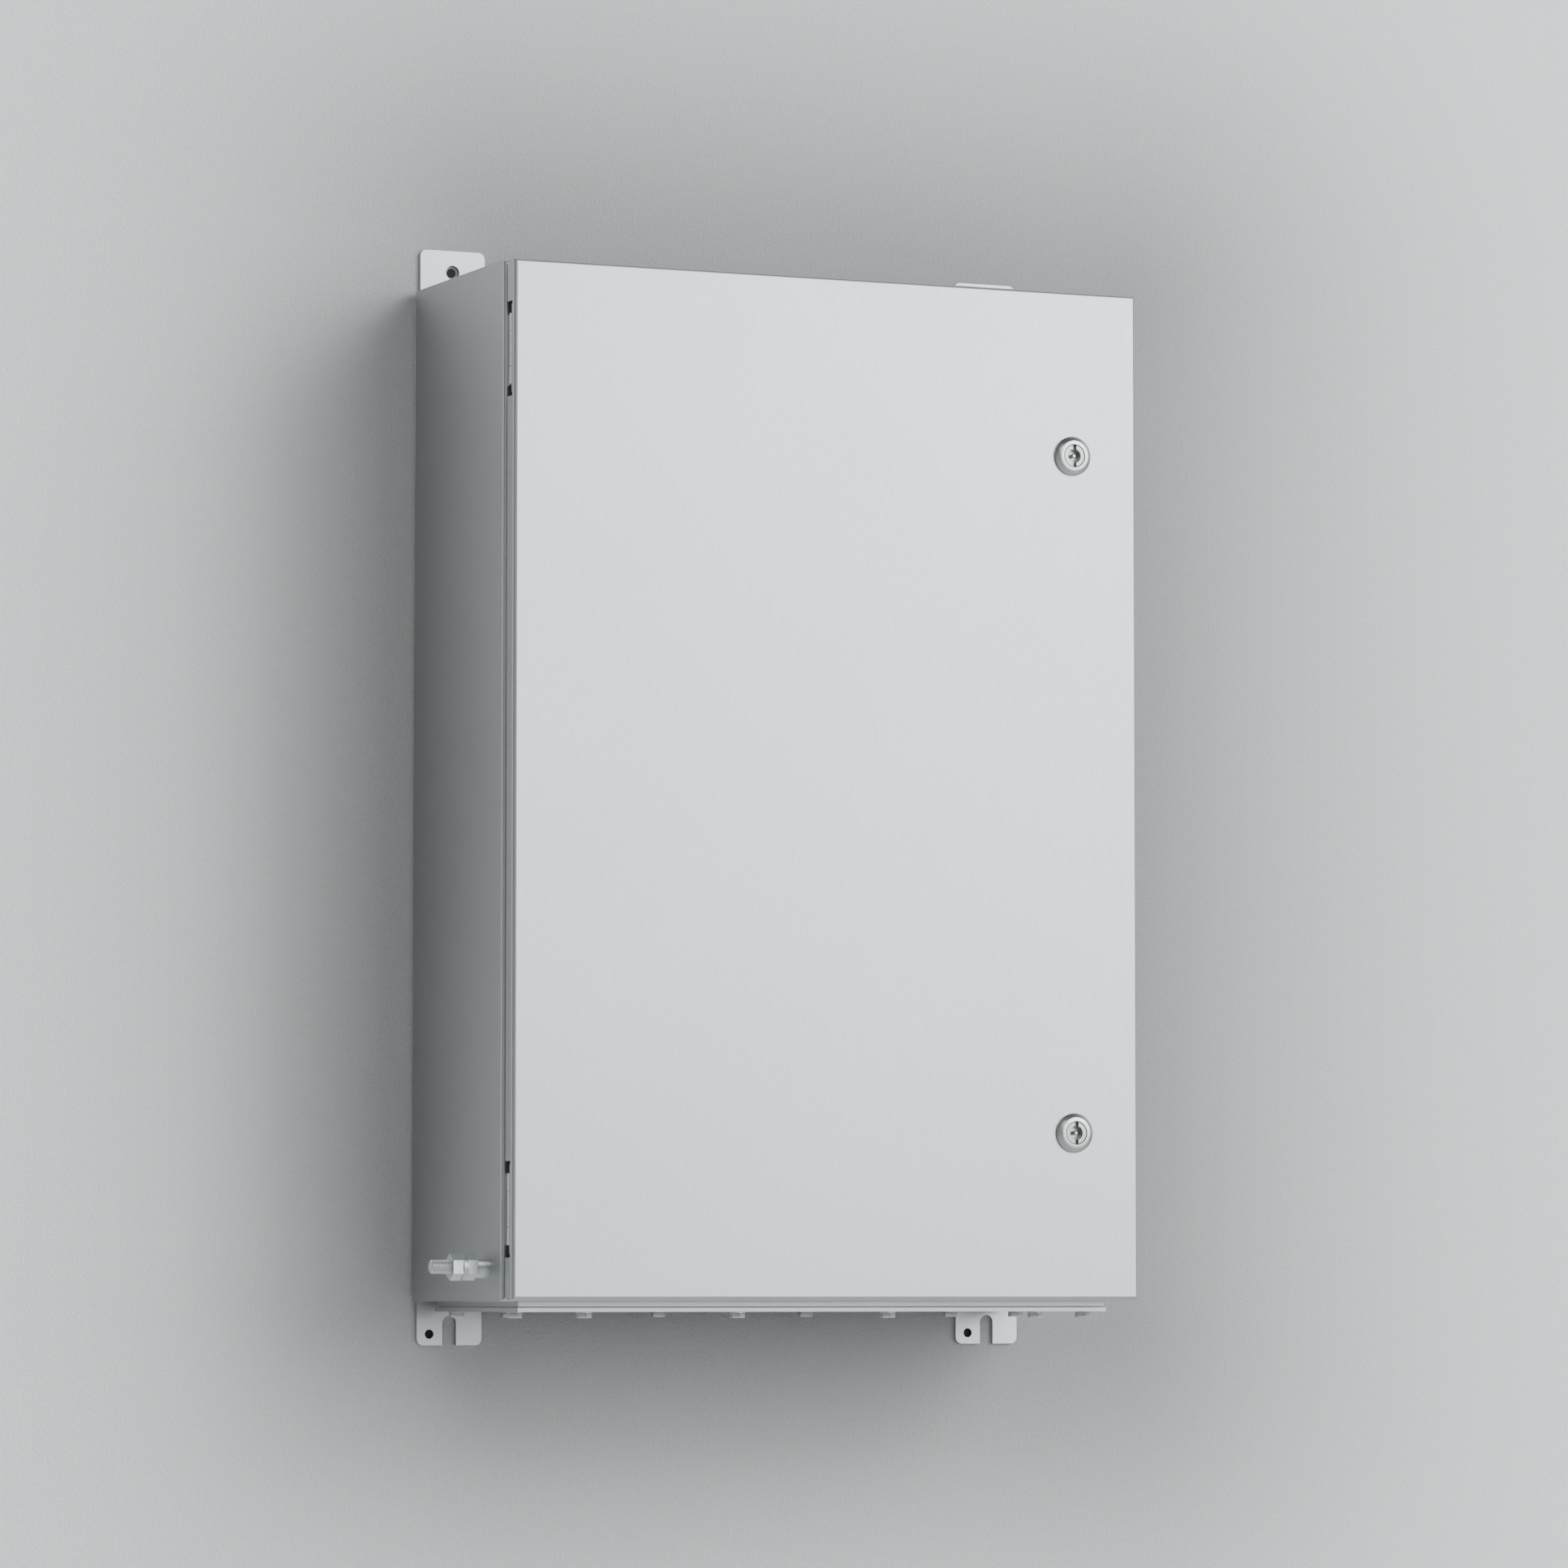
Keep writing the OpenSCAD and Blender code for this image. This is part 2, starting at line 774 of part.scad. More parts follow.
// Bores a nut or washer so that it sits on the stud
module stud_ring() {
  difference() {
    children();
    rod_x(stud_r + thread_gap, x_stud_tip, -x_side, y_door + stud_y, z_bot + stud_z);
  }
}

// Height of a hinge's middle: the upper one is 1, the lower one -1
function hinge_mid(s) = s > 0 ? door_top - hinge_z : door_bot + hinge_z;

module hinge_body_leaves() {
  end_l = (barrel_l - knuckle_l) / 2;
  color([0.72, 0.73, 0.74]) for (s = [-1, 1]) {
    mid = hinge_mid(s);
    difference() {
      union() {
        for (t = [-1, 1]) {
          z0 = t > 0 ? mid + knuckle_l / 2 + knuckle_gap / 2 : mid - barrel_l / 2;
          z1 = t > 0 ? mid + barrel_l / 2 : mid - knuckle_l / 2 - knuckle_gap / 2;
          rod_z(barrel_r, hinge_x, hinge_y, z0, z1);
          block([hinge_x - leaf_t / 2, hinge_y, z0], [hinge_x + leaf_t / 2, y_flange, z1]);
        }
        block([hinge_x - leaf_t / 2, y_flange - leaf_t, mid - barrel_l / 2],
              [-rim_x - leaf_gap, y_flange, mid + barrel_l / 2]);
      }
      rod_z(hinge_pin_r, hinge_x, hinge_y, mid - barrel_l, mid + barrel_l);
    }
  }
}

module hinge_pins() {
  half = barrel_l / 2;
  color([0.66, 0.67, 0.68]) for (s = [-1, 1])
    rod_z(hinge_pin_r, hinge_x, hinge_y, hinge_mid(s) - half, hinge_mid(s) + half);
}

module hinge_door_leaves() {
  half = (knuckle_l - knuckle_gap) / 2;
  // The leaf starts inside the door's bend
  bend_in = bend_r - sheet;
  color([0.72, 0.73, 0.74]) for (s = [-1, 1]) {
    mid = hinge_mid(s);
    difference() {
      union() {
        rod_z(barrel_r, hinge_x, hinge_y, mid - half, mid + half);
        block([-door_x + sheet, y_door_in + bend_in, mid - half],
              [-door_x + sheet + leaf_t, hinge_y, mid + half]);
        block([-door_x + sheet + bend_in, y_door_in, mid - half],
              [-rim_x - gasket_w / 2 - leaf_gap, y_door_in + leaf_t, mid + half]);
      }
      rod_z(hinge_pin_r + pin_clear, hinge_x, hinge_y, mid - barrel_l, mid + barrel_l);
    }
  }
}

// ---------------------------------------------------------------- door

module door_panel() {
  color([0.82, 0.84, 0.86]) difference() {
    folded([-door_x, y_door, door_bot], [door_x, y_door + 4 * return_d, door_top], bend_r);
    folded([-door_x + sheet, y_door_in, door_bot + sheet],
           [door_x - sheet, y_door + 4 * return_d, door_top - sheet], bend_r - sheet);
    block([-door_x - over, y_door + return_d, door_bot - over],
          [door_x + over, y_door + 5 * return_d, door_top + over]);
    for (s = [-1, 1]) {
      mid = hinge_mid(s);
      block([-door_x - over, y_door + hinge_cut_front, mid - hinge_cut_l / 2],
            [-door_x + sheet + over, y_door + return_d + over, mid + hinge_cut_l / 2]);
      // Small reliefs at both ends of the hinge cut-out
      for (t = [-1, 1])
        rod_x(relief_r, -door_x - over, -door_x + sheet + over, y_door + hinge_cut_front,
              mid + t * (hinge_cut_l / 2 - relief_r));
    }
    for (z = lock_zs)
      rod_y(sleeve_r + sleeve_gap, lock_x, z, y_door - over, y_door_in + over);
    // Drain slots in the top and bottom returns
    for (z = [door_bot, door_top])
      block([lock_x, y_door + drain_front, z - 2 * sheet],
            [lock_x + drain_l, y_door + drain_front + drain_h, z + 2 * sheet]);
    // Corner reliefs where the returns meet
    for (s = [-1, 1], z = [door_bot, door_top])
      block([s * (door_x - corner_cut / 2) - corner_cut / 2, y_door + bend_r, z - corner_cut_h],
            [s * (door_x - corner_cut / 2) + corner_cut / 2, y_door + return_d + over,
             z + corner_cut_h]);
  }
}

module door_gasket() {
  outer = rim_x + gasket_w / 2;
  color([0.30, 0.31, 0.32])
    frame_y([-outer, y_door_in, rim_bot - gasket_w / 2],
            [outer, y_rim, rim_top + gasket_w / 2], gasket_w);
}

module lock_housings() {
  color([0.76, 0.76, 0.76]) for (z = lock_zs) difference() {
    union() {
      rod_y(bezel_r, lock_x, z, y_door - bezel_rim, y_door);
      translate([lock_x, y_door - bezel_rim + eps, z]) rotate([90, 0, 0])
        cylinder(r1 = bezel_r, r2 = bezel_front_r, h = bezel_h - bezel_rim + eps);
      rod_y(sleeve_r, lock_x, z, y_door - eps, y_sleeve_end);
    }
    // Seat for the insert's head, then the bearing for its stem
    rod_y(insert_r + insert_clear, lock_x, z, y_door - bezel_h - over,
          y_door_in + insert_head_back);
    rod_y(stem_r + insert_clear, lock_x, z, y_door, y_sleeve_end + over);
  }
}

module lock_nuts() {
  color([0.62, 0.62, 0.62]) for (z = lock_zs) difference() {
    hex_y(lock_nut_flats, lock_x, z, y_door_in, y_door_in + nut_t);
    rod_y(sleeve_r + thread_gap, lock_x, z, y_door_in - over, y_door_in + nut_t + over);
  }
}

// Double-bit insert: a head with a key recess, a stem and a square end
module lock_insert(z) {
  front = y_door - bezel_h;
  color([0.68, 0.68, 0.66]) union() {
    difference() {
      union() {
        rod_y(insert_r, lock_x, z, front + insert_sink,
              y_door_in + insert_head_back - insert_clear);
        rod_y(stem_r, lock_x, z, y_door, y_cam - square_start);
        block([lock_x - square_half, y_cam - square_start - eps, z - square_half],
              [lock_x + square_half, y_cam + cam_t, z + square_half]);
        rod_y(cam_nut_r, lock_x, z, y_cam + cam_t, y_cam + cam_t + cam_nut_t);
      }
      rod_y(key_recess_r, lock_x, z, front - over, front + key_recess);
      block([lock_x - key_slot_half, front - over, z - insert_r - over],
            [lock_x + key_slot_half, front + key_slot_d, z + insert_r + over]);
    }
    rod_y(key_pin_r, lock_x, z, front + key_pin_sink, front + key_recess + eps);
  }
}

// Flat cam that hangs down when unlocked and turns behind the flange
module lock_cam(z) {
  hole = square_half + cam_fit;
  color([0.70, 0.71, 0.72]) difference() {
    slab([lock_x - cam_half, y_cam, z - cam_l],
         [lock_x + cam_half, y_cam + cam_t, z + cam_back], cam_corner);
    block([lock_x - hole, y_cam - over, z - hole], [lock_x + hole, y_cam + cam_t + over, z + hole]);
  }
}

module upper_lock_insert() { lock_insert(lock_zs[0]); }
module upper_lock_cam() { lock_cam(lock_zs[0]); }
module lower_lock_insert() { lock_insert(lock_zs[1]); }
module lower_lock_cam() { lock_cam(lock_zs[1]); }

// ---------------------------------------------------------------- bonding

module body_bond_stud() {
  color([0.72, 0.60, 0.30]) {
    rod_x(bond_r, -x_in, -x_in + bond_l, strap_body_y, strap_z);
    rod_x(bond_collar_r, -x_in, -x_in + bond_collar_l, strap_body_y, strap_z);
    hex_x(m6_flats, -x_in + bond_nut_lo, -x_in + bond_nut_hi, strap_body_y, strap_z);
  }
}

module door_bond_stud() {
  color([0.72, 0.60, 0.30]) {
    rod_y(bond_r, strap_door_x, strap_z, y_door_in, y_door_in + bond_l);
    rod_y(bond_collar_r, strap_door_x, strap_z, y_door_in, y_door_in + bond_collar_l);
    hex_y(m6_flats, strap_door_x, strap_z, y_door_in + bond_nut_lo, y_door_in + bond_nut_hi);
  }
}

// Flat braid from the side wall, looping inside, to the door
module door_bond_strap() {
  x0 = -x_in + strap_seat;
  y1 = y_door_in + strap_seat;
  loop_x = strap_door_x + strap_reach_x;
  loop_y = strap_body_y + strap_reach_y;
  lo = strap_z - strap_w / 2;
  hi = strap_z + strap_w / 2;
  hole_r = bond_r + strap_hole_gap;
  color([0.75, 0.55, 0.35]) difference() {
    union() {
      block([x0, strap_body_y - strap_lug, lo], [x0 + strap_t, loop_y, hi]);
      block([x0, loop_y - strap_t, lo], [loop_x, loop_y, hi]);
      block([loop_x - strap_t, y1, lo], [loop_x, loop_y, hi]);
      block([strap_door_x - strap_lug, y1, lo], [loop_x, y1 + strap_t, hi]);
    }
    rod_x(hole_r, x0 - over, x0 + strap_t + over, strap_body_y, strap_z);
    rod_y(hole_r, strap_door_x, strap_z, y1 - over, y1 + strap_t + over);
  }
}

// ---------------------------------------------------------------- mounting plate

module mounting_plate() {
  color([0.72, 0.74, 0.75]) difference() {
    slab([-plate_w / 2, y_plate, z_mid - plate_h / 2],
         [plate_w / 2, y_plate_back, z_mid + plate_h / 2], plate_corner);
    for (p = plate_stud_spots())
      rod_y(plate_stud_r + plate_hole_gap, p[0], p[1], y_plate - over, y_plate_back + over);
  }
}

module plate_studs() {
  color([0.70, 0.71, 0.72]) for (p = plate_stud_spots()) {
    rod_y(plate_stud_r, p[0], p[1], y_plate - plate_stud_out, y_inner);
    rod_y(plate_collar_r, p[0], p[1], y_plate_back, y_inner);
  }
}

module plate_nuts() {
  color([0.76, 0.77, 0.78]) for (p = plate_stud_spots()) difference() {
    union() {
      rod_y(plate_washer_r, p[0], p[1], y_plate - plate_washer_t, y_plate);
      hex_y(plate_nut_flats, p[0], p[1], y_plate - plate_nut_out, y_plate - plate_washer_t + eps);
    }
    rod_y(plate_stud_r + thread_gap, p[0], p[1], y_plate - plate_nut_out - over, y_plate + over);
  }
}

// A top-hat rail along X
module hat_rail(x0, x1, z) {
  half = rail_waist / 2;
  lip = rail_w / 2 - half + rail_t;
  translate([x0, 0, z]) rotate([90, 0, 90]) linear_extrude(x1 - x0) {
    translate([y_plate - rail_t, -half]) square([rail_t, rail_waist]);
    for (s = [-1, 1]) {
      translate([y_rail, s > 0 ? half - rail_t : -half]) square([rail_h, rail_t]);
      translate([y_rail, s > 0 ? half - rail_t : -rail_w / 2]) square([rail_t, lip]);
    }
  }
}

module din_rails() {
  color([0.80, 0.80, 0.76]) {
    hat_rail(-rail_a_x, rail_a_x, z_rail_a);
    hat_rail(-rail_b_x, rail_b_x, z_rail_b);
  }
}

// ---------------------------------------------------------------- ducts

// Comb-shaped slotted wall, in its own plane: length along X, depth along Y
module comb(l, d) {
  n = floor((l - 10) / duct_pitch);
  start = (l - (n - 1) * duct_pitch) / 2;
  difference() {
    square([l, d]);
    for (i = [0:n - 1])
      translate([start + i * duct_pitch - duct_slot / 2, duct_foot]) square([duct_slot, d]);
  }
}

// A horizontal duct body, open to the front
module duct_x_run(x0, x1, z) {
  block([x0, y_plate - duct_wall, z - duct_w / 2], [x1, y_plate, z + duct_w / 2]);
  for (s = [-1, 1])
    translate([x0, y_plate - eps, z + s * (duct_w - duct_wall) / 2 - duct_wall / 2])
      mirror([0, 1, 0]) linear_extrude(duct_wall) comb(x1 - x0, duct_d);
}

// A vertical duct body, open to the front
module duct_z_run(z0, z1, x) {
  block([x - duct_w / 2, y_plate - duct_wall, z0], [x + duct_w / 2, y_plate, z1]);
  for (s = [-1, 1])
    translate([x + s * (duct_w - duct_wall) / 2 - duct_wall / 2, y_plate - eps, z1])
      rotate([0, 90, 0]) mirror([0, 1, 0]) linear_extrude(duct_wall) comb(z1 - z0, duct_d);
}

module wiring_ducts() {
  color([0.62, 0.64, 0.66]) {
    duct_x_run(-duct_inner, duct_inner, z_duct_top);
    duct_x_run(-duct_inner, duct_inner, z_duct_mid);
    for (s = [-1, 1])
      duct_z_run(duct_low, z_duct_top + duct_w / 2, s * duct_x);
  }
}

module duct_lids() {
  y0 = y_plate - duct_d - duct_lid_t;
  y1 = y_plate - duct_d - eps;
  half = duct_w / 2 + duct_lid_grow;
  corner = 1;
  color([0.66, 0.68, 0.70]) {
    for (z = [z_duct_top, z_duct_mid])
      slab([-duct_inner, y0, z - half], [duct_inner, y1, z + half], corner);
    for (s = [-1, 1])
      slab([s * duct_x - half, y0, duct_low],
           [s * duct_x + half, y1, z_duct_top + duct_w / 2], corner);
  }
}

// ---------------------------------------------------------------- switch

module switch_base_plate() {
  half = deck_w / 2 + base_margin;
  color([0.70, 0.72, 0.74]) difference() {
    union() {
      slab([-half, y_plate - base_t, z_switch - half],
           [half, y_plate, z_switch + half], base_corner);
      for (p = tie_spots())
        rod_y(foot_r, p[0], p[1], y_decks, y_plate);
    }
    for (p = tie_spots())
      rod_y(tie_r + thread_gap, p[0], p[1], y_decks - over, y_plate + over);
  }
}

// One pole's moulded deck with its rotor chamber and three contact slots
module switch_deck(k) {
  half = deck_w / 2;
  y0 = y_decks - (k + 1) * deck_t + seam;
  y1 = y_decks - k * deck_t;
  y = pole_y(k);
  difference() {
    slab([-half, y0, z_switch - half], [half, y1, z_switch + half], deck_corner);
    rod_y(rotor_chamber_r, 0, z_switch, y0 + chamber_wall, y1 - chamber_wall);
    rod_y(shaft_r + bearing_clear, 0, z_switch, y0 - over, y1 + over);
    for (p = tie_spots())
      rod_y(tie_r + tie_clear, p[0], p[1], y0 - over, y1 + over);
    for (a = contact_turns)
      translate([0, 0, z_switch]) rotate([0, a, 0])
        block([rotor_chamber_r - ring_gap, y - bar_t / 2 - contact_fit, -bar_w / 2 - contact_fit],
              [half + over, y + bar_t / 2 + contact_fit, bar_w / 2 + contact_fit]);
    // Cooling grooves along the moulded sides
    for (s = [-1, 1], t = [-1, 1]) {
      z = z_switch + t * groove_rise;
      block([s > 0 ? half - groove_sink : -half - over, y - groove_half_y, z - groove_half],
            [s > 0 ? half + over : -half + groove_sink, y + groove_half_y, z + groove_half]);
    }
  }
}

module switch_decks() {
  color([0.20, 0.22, 0.24]) for (k = [0:poles - 1]) switch_deck(k);
}

// Fixed copper bars: left for source 1, bottom for the load, right for source 2
module switch_contacts() {
  color([0.80, 0.48, 0.30]) for (k = [0:poles - 1], a = contact_turns) {
    y = pole_y(k);
    end = deck_w / 2 + bar_out(k);
    translate([0, 0, z_switch]) rotate([0, a, 0]) difference() {
      block([contact_r, y - bar_t / 2, -bar_w / 2], [end, y + bar_t / 2, bar_w / 2]);
      rod_y(lug_hole_r, end - lug_inset, 0, y - bar_t, y + bar_t);
    }
  }
}

// Bolt, washer face and nut that clamp a lug on its contact bar
module lug_bolt(c) {
  head_in = bar_t / 2 + lug_palm_t;
  head_t = 4;
  rod_y(bolt_r, c[0], c[2], c[1] - head_in - head_t, c[1] + bar_t / 2 + nut_m6_t);
  hex_y(m6_flats, c[0], c[2], c[1] - head_in - head_t, c[1] - head_in);
  hex_y(m6_flats, c[0], c[2], c[1] + bar_t / 2 + lug_gap, c[1] + bar_t / 2 + nut_m6_t);
}

// Socket screw at the bottom of a power terminal's well
module well_screw(x, z) {
  screw_r = 4;
  socket_r = 2.2;
  screw_top = 10.5;
  socket_end = 14;
  y = y_device - power_d;
  difference() {
    rod_y(screw_r, x, z, y + screw_top, y + well_d);
    rod_y(socket_r, x, z, y + screw_top - over, y + socket_end);
  }
}

// Slotted screw on the front of the earth bar
module earth_screw(x) {
  screw_r = 4;
  screw_t = 5;
  slot_half = 0.6;
  slot_d = 1.5;
  y = y_plate - earth_front;
  difference() {
    rod_y(screw_r, x, z_earth, y - screw_t, y);
    block([x - screw_r - over, y - screw_t - over, z_earth - slot_half],
          [x + screw_r + over, y - screw_t + slot_d, z_earth + slot_half]);
  }
}

module terminal_screws() {
  color([0.78, 0.78, 0.76]) {
    for (side = [0:2], k = [0:poles - 1])
      lug_bolt(lug_at(side, k));
    for (g = power_groups, k = [0:poles - 1], t = [-1, 1])
      well_screw(g + power_pitch * (k - 1.5), z_rail_b + t * well_z);
    for (i = [0:earth_n - 1])
      earth_screw((i - (earth_n - 1) / 2) * earth_pitch);
  }
}

module switch_tie_rods() {
  color([0.75, 0.76, 0.77]) for (p = tie_spots())
    rod_y(tie_r, p[0], p[1], y_gearbox, y_plate);
}

module changeover_shaft() {
  color([0.70, 0.71, 0.72])
    rod_y(shaft_r, 0, z_switch, y_face - handle_gap - hub_l + hub_wall, y_decks + foot_gap - air);
}

// Bridge of pole k: a ring around the shaft with two blades at right angles
module bridge(k) {
  y = pole_y(k);
  difference() {
    union() {
      rod_y(ring_r, 0, z_switch, y - blade_t / 2, y + blade_t / 2);
      for (a = blade_turns)
        translate([0, 0, z_switch]) rotate([0, a, 0])
          block([(shaft_r + ring_r) / 2, y - blade_t / 2, -blade_w / 2],
                [blade_r, y + blade_t / 2, blade_w / 2]);
    }
    rod_y(shaft_r + ring_gap, 0, z_switch, y - deck_t, y + deck_t);
  }
}

// Moulded drum on the shaft in each deck, with its bridge moulded in
module contact_rotors() {
  color([0.85, 0.83, 0.76]) for (k = [0:poles - 1]) {
    y = pole_y(k);
    difference() {
      rod_y(rotor_r, 0, z_switch, y - deck_t / 2 + rotor_gap, y + deck_t / 2 - rotor_gap);
      rod_y(shaft_r, 0, z_switch, y - deck_t, y + deck_t);
      bridge(k);
    }
  }
}

module rotor_contacts() {
  color([0.85, 0.60, 0.45]) for (k = [0:poles - 1]) bridge(k);
}

module main_gear() {
  color([0.85, 0.80, 0.62])
    spur_gear(main_teeth, 90, shaft_r, 0, z_switch, y_gear, y_gear + gear_t);
}

module idler_gear() {
  // The main gear has a tooth at its top, so the idler has a gap at its bottom
  gap_down = 270 + 180 / idler_teeth;
  color([0.85, 0.80, 0.62])
    spur_gear(idler_teeth, gap_down, idler_pin_r + bearing_clear, 0, idler_z,
              y_gear, y_gear + gear_t);
}

module motor_pinion() {
  // The idler has a gap at its top, so the pinion has a tooth at its bottom
  tooth_down = 270;
  extra = 1;
  shaft_in = 11;
  color([0.78, 0.66, 0.34]) {
    spur_gear(pinion_teeth, tooth_down, pinion_shaft_r - eps, 0, pinion_z,
              y_gear - extra, y_gear + gear_t + extra);
    rod_y(pinion_shaft_r, 0, pinion_z, y_gear - extra, y_gearbox + shaft_in);
  }
}

module drive_housing() {
  shaft_hole_r = 4;
  inner_corner = gearbox_corner - gearbox_wall;
  color([0.24, 0.25, 0.27]) difference() {
    slab([-gearbox_x, y_cover, gearbox_low], [gearbox_x, y_gearbox, gearbox_high],
         gearbox_corner);
    slab([-gearbox_x + gearbox_wall, y_cover - over, gearbox_low + gearbox_wall],
         [gearbox_x - gearbox_wall, y_gearbox - gearbox_wall, gearbox_high - gearbox_wall],
         inner_corner);
    rod_y(shaft_r + bearing_clear, 0, z_switch, y_cover, y_gearbox + over);
    rod_y(shaft_hole_r, 0, pinion_z, y_cover, y_gearbox + over);
  }
  // Fixed pivot of the idler gear
  color([0.70, 0.71, 0.72])
    rod_y(idler_pin_r, 0, idler_z, y_gear - 1, y_gearbox - gearbox_wall + eps);
}

module drive_cover() {
  color([0.85, 0.86, 0.87]) difference() {
    slab([-gearbox_x, y_face, gearbox_low], [gearbox_x, y_cover, gearbox_high], gearbox_corner);
    rod_y(shaft_r + bearing_clear, 0, z_switch, y_face - over, y_cover + over);
    rod_y(selector_stem_r + bearing_clear, selector_x, selector_z, y_face - over, y_cover + over);
  }
}

module drive_motor() {
  color([0.45, 0.46, 0.48]) difference() {
    union() {
      rod_y(motor_r, 0, pinion_z, y_gearbox + motor_neck, y_gearbox + motor_l);
      rod_y(motor_r - 1, 0, pinion_z, y_gearbox, y_gearbox + motor_neck + eps);
      rod_y(motor_boss_r, 0, pinion_z, y_gearbox + motor_l - eps,
            y_gearbox + motor_l + motor_boss_l);
    }
    rod_y(pinion_shaft_r + bearing_clear, 0, pinion_z, y_gearbox - over, y_gearbox + motor_bore);
  }
}

module manual_handle() {
  y1 = y_face - handle_gap;
  lever_half = 7;
  lever_corner = 6;
  lever_back = 4;
  color([0.75, 0.12, 0.10]) difference() {
    union() {
      rod_y(hub_r, 0, z_switch, y1 - hub_l, y1);
      slab([-lever_half, y1 - hub_l, z_switch],
           [lever_half, y1 - lever_back, z_switch + lever_l], lever_corner);
    }
    rod_y(shaft_r, 0, z_switch, y1 - hub_l + hub_wall, y1 + over);
  }
}

module mode_selector() {
  grip_half = 2;
  grip_corner = 1.5;
  knob_end = y_face - selector_out;
  color([0.10, 0.10, 0.11]) {
    rod_y(selector_r, selector_x, selector_z, knob_end, y_face - air);
    slab([selector_x - grip_half, knob_end - selector_grip, selector_z - selector_r],
         [selector_x + grip_half, knob_end + eps, selector_z + selector_r + selector_grip],
         grip_corner);
    rod_y(selector_stem_r, selector_x, selector_z, y_face - 1, y_cover + 2);
  }
}

// ---------------------------------------------------------------- control gear

module breaker_housings() {
  h = row_h / 2;
  nose_half = 22;
  nose_out = 18;
  slot_side = 6;
  slot_deep = 12;
  slot_gap = 5;
  pivot_side = 3;
  hole_r = 3.4;
  hole_x = 9;
  hole_d = 9;
  front = y_device - breaker_d;
  color([0.86, 0.86, 0.84]) for (x = breaker_x) difference() {
    union() {
      block([x, front, z_rail_a - h], [x + breaker_w, y_device, z_rail_a + h]);
      block([x, front - nose_out, z_rail_a - nose_half],
            [x + breaker_w, front + eps, z_rail_a + nose_half]);
    }
    // Slot for the toggle and its pivot
    block([x + slot_side, toggle_y - slot_deep, toggle_z - toggle_r - slot_gap],
          [x + breaker_w - slot_side, toggle_y + toggle_r + 1, toggle_z + toggle_r + slot_gap]);
    rod_x(pivot_r + bearing_clear, x + pivot_side, x + breaker_w - pivot_side,
          toggle_y, toggle_z);
    // Terminal mouths, top and bottom
    for (i = [0, 1], t = [-1, 1])
      rod_y(hole_r, x + hole_x + breaker_w / 2 * i, z_rail_a + t * (h - hole_x),
            front - over, front + hole_d);
  }
}

module breaker_toggle(x) {
  lean = 40;
  drum_side = 6.5;
  pivot_side = 3.5;
  lever_side = 9;
  lever_out = 17;
  lever_half = 2.5;
  lever_corner = 1.2;
  color([0.12, 0.12, 0.13]) translate([0, toggle_y, toggle_z]) rotate([lean, 0, 0])
    translate([0, -toggle_y, -toggle_z]) {
      rod_x(toggle_r - 0.5, x + drum_side, x + breaker_w - drum_side, toggle_y, toggle_z);
      rod_x(pivot_r, x + pivot_side, x + breaker_w - pivot_side, toggle_y, toggle_z);
      beam([x + lever_side, toggle_y - lever_out, toggle_z - lever_half],
           [x + breaker_w - lever_side, toggle_y, toggle_z + lever_half], lever_corner);
    }
}

module breaker_toggle_1() { breaker_toggle(breaker_x[0]); }
module breaker_toggle_2() { breaker_toggle(breaker_x[1]); }

module control_relays() {
  base_d = 30;
  base_half = 38;
  cover_d = 58;
  cover_half = 16;
  side = 1.5;
  corner = 1;
  color([0.80, 0.82, 0.84]) for (x = relay_x) {
    block([x, y_device - base_d, z_rail_a - base_half],
          [x + relay_w, y_device, z_rail_a + base_half]);
    slab([x + side, y_device - cover_d, z_rail_a - cover_half],
         [x + relay_w - side, y_device - base_d + eps, z_rail_a + cover_half], corner);
  }
}

module controller_housing() {
  h = controller_h / 2;
  x1 = controller_x + controller_w;
  face = y_controller - bezel_t;
  bezel_side = 4;
  bezel_end = 12;
  button_hole_d = 6;
  color([0.30, 0.32, 0.34]) difference() {
    union() {
      block([controller_x, y_controller, z_rail_a - h], [x1, y_device, z_rail_a + h]);
      slab([controller_x + bezel_side, face, z_rail_a - h + bezel_end],
           [x1 - bezel_side, y_controller + eps, z_rail_a + h - bezel_end], bezel_side);
    }
    // Recess for the window
    block([controller_x + window_lo[0], face - over, z_rail_a + window_lo[1]],
          [controller_x + window_hi[0], face + recess_d, z_rail_a + window_hi[1]]);
    for (x = button_xs)
      rod_y(button_r + button_clear, x, button_z, face - over, y_controller + button_hole_d);
    for (i = [0:lamp_n - 1])
      rod_y(lamp_hole_r, controller_x + lamp_x + lamp_pitch * i, z_rail_a + lamp_z,
            face - over, y_controller + recess_d);
  }
}

module controller_window() {
  face = y_controller - bezel_t;
  fit = [window_fit, window_fit];
  lo = window_lo + fit;
  hi = window_hi - fit;
  color([0.25, 0.45, 0.50, 0.6])
    block([controller_x + lo[0], face + window_sink, z_rail_a + lo[1]],
          [controller_x + hi[0], face + recess_d, z_rail_a + hi[1]]);
}

module controller_lamps() {
  lens_out = 0.6;
  color([0.2, 0.8, 0.3]) for (i = [0:lamp_n - 1])
    rod_y(lamp_r, controller_x + lamp_x + lamp_pitch * i, z_rail_a + lamp_z,
          y_controller - bezel_t - lens_out, y_controller + recess_d);
}

module push_button(x) {
  cap_out = 2;
  cap_in = 4;
  color([0.75, 0.76, 0.78])
    rod_y(button_r, x, button_z, y_controller - bezel_t - cap_out, y_controller + cap_in);
}

module mode_button() { push_button(button_xs[0]); }
module test_button() { push_button(button_xs[1]); }
module reset_button() { push_button(button_xs[2]); }

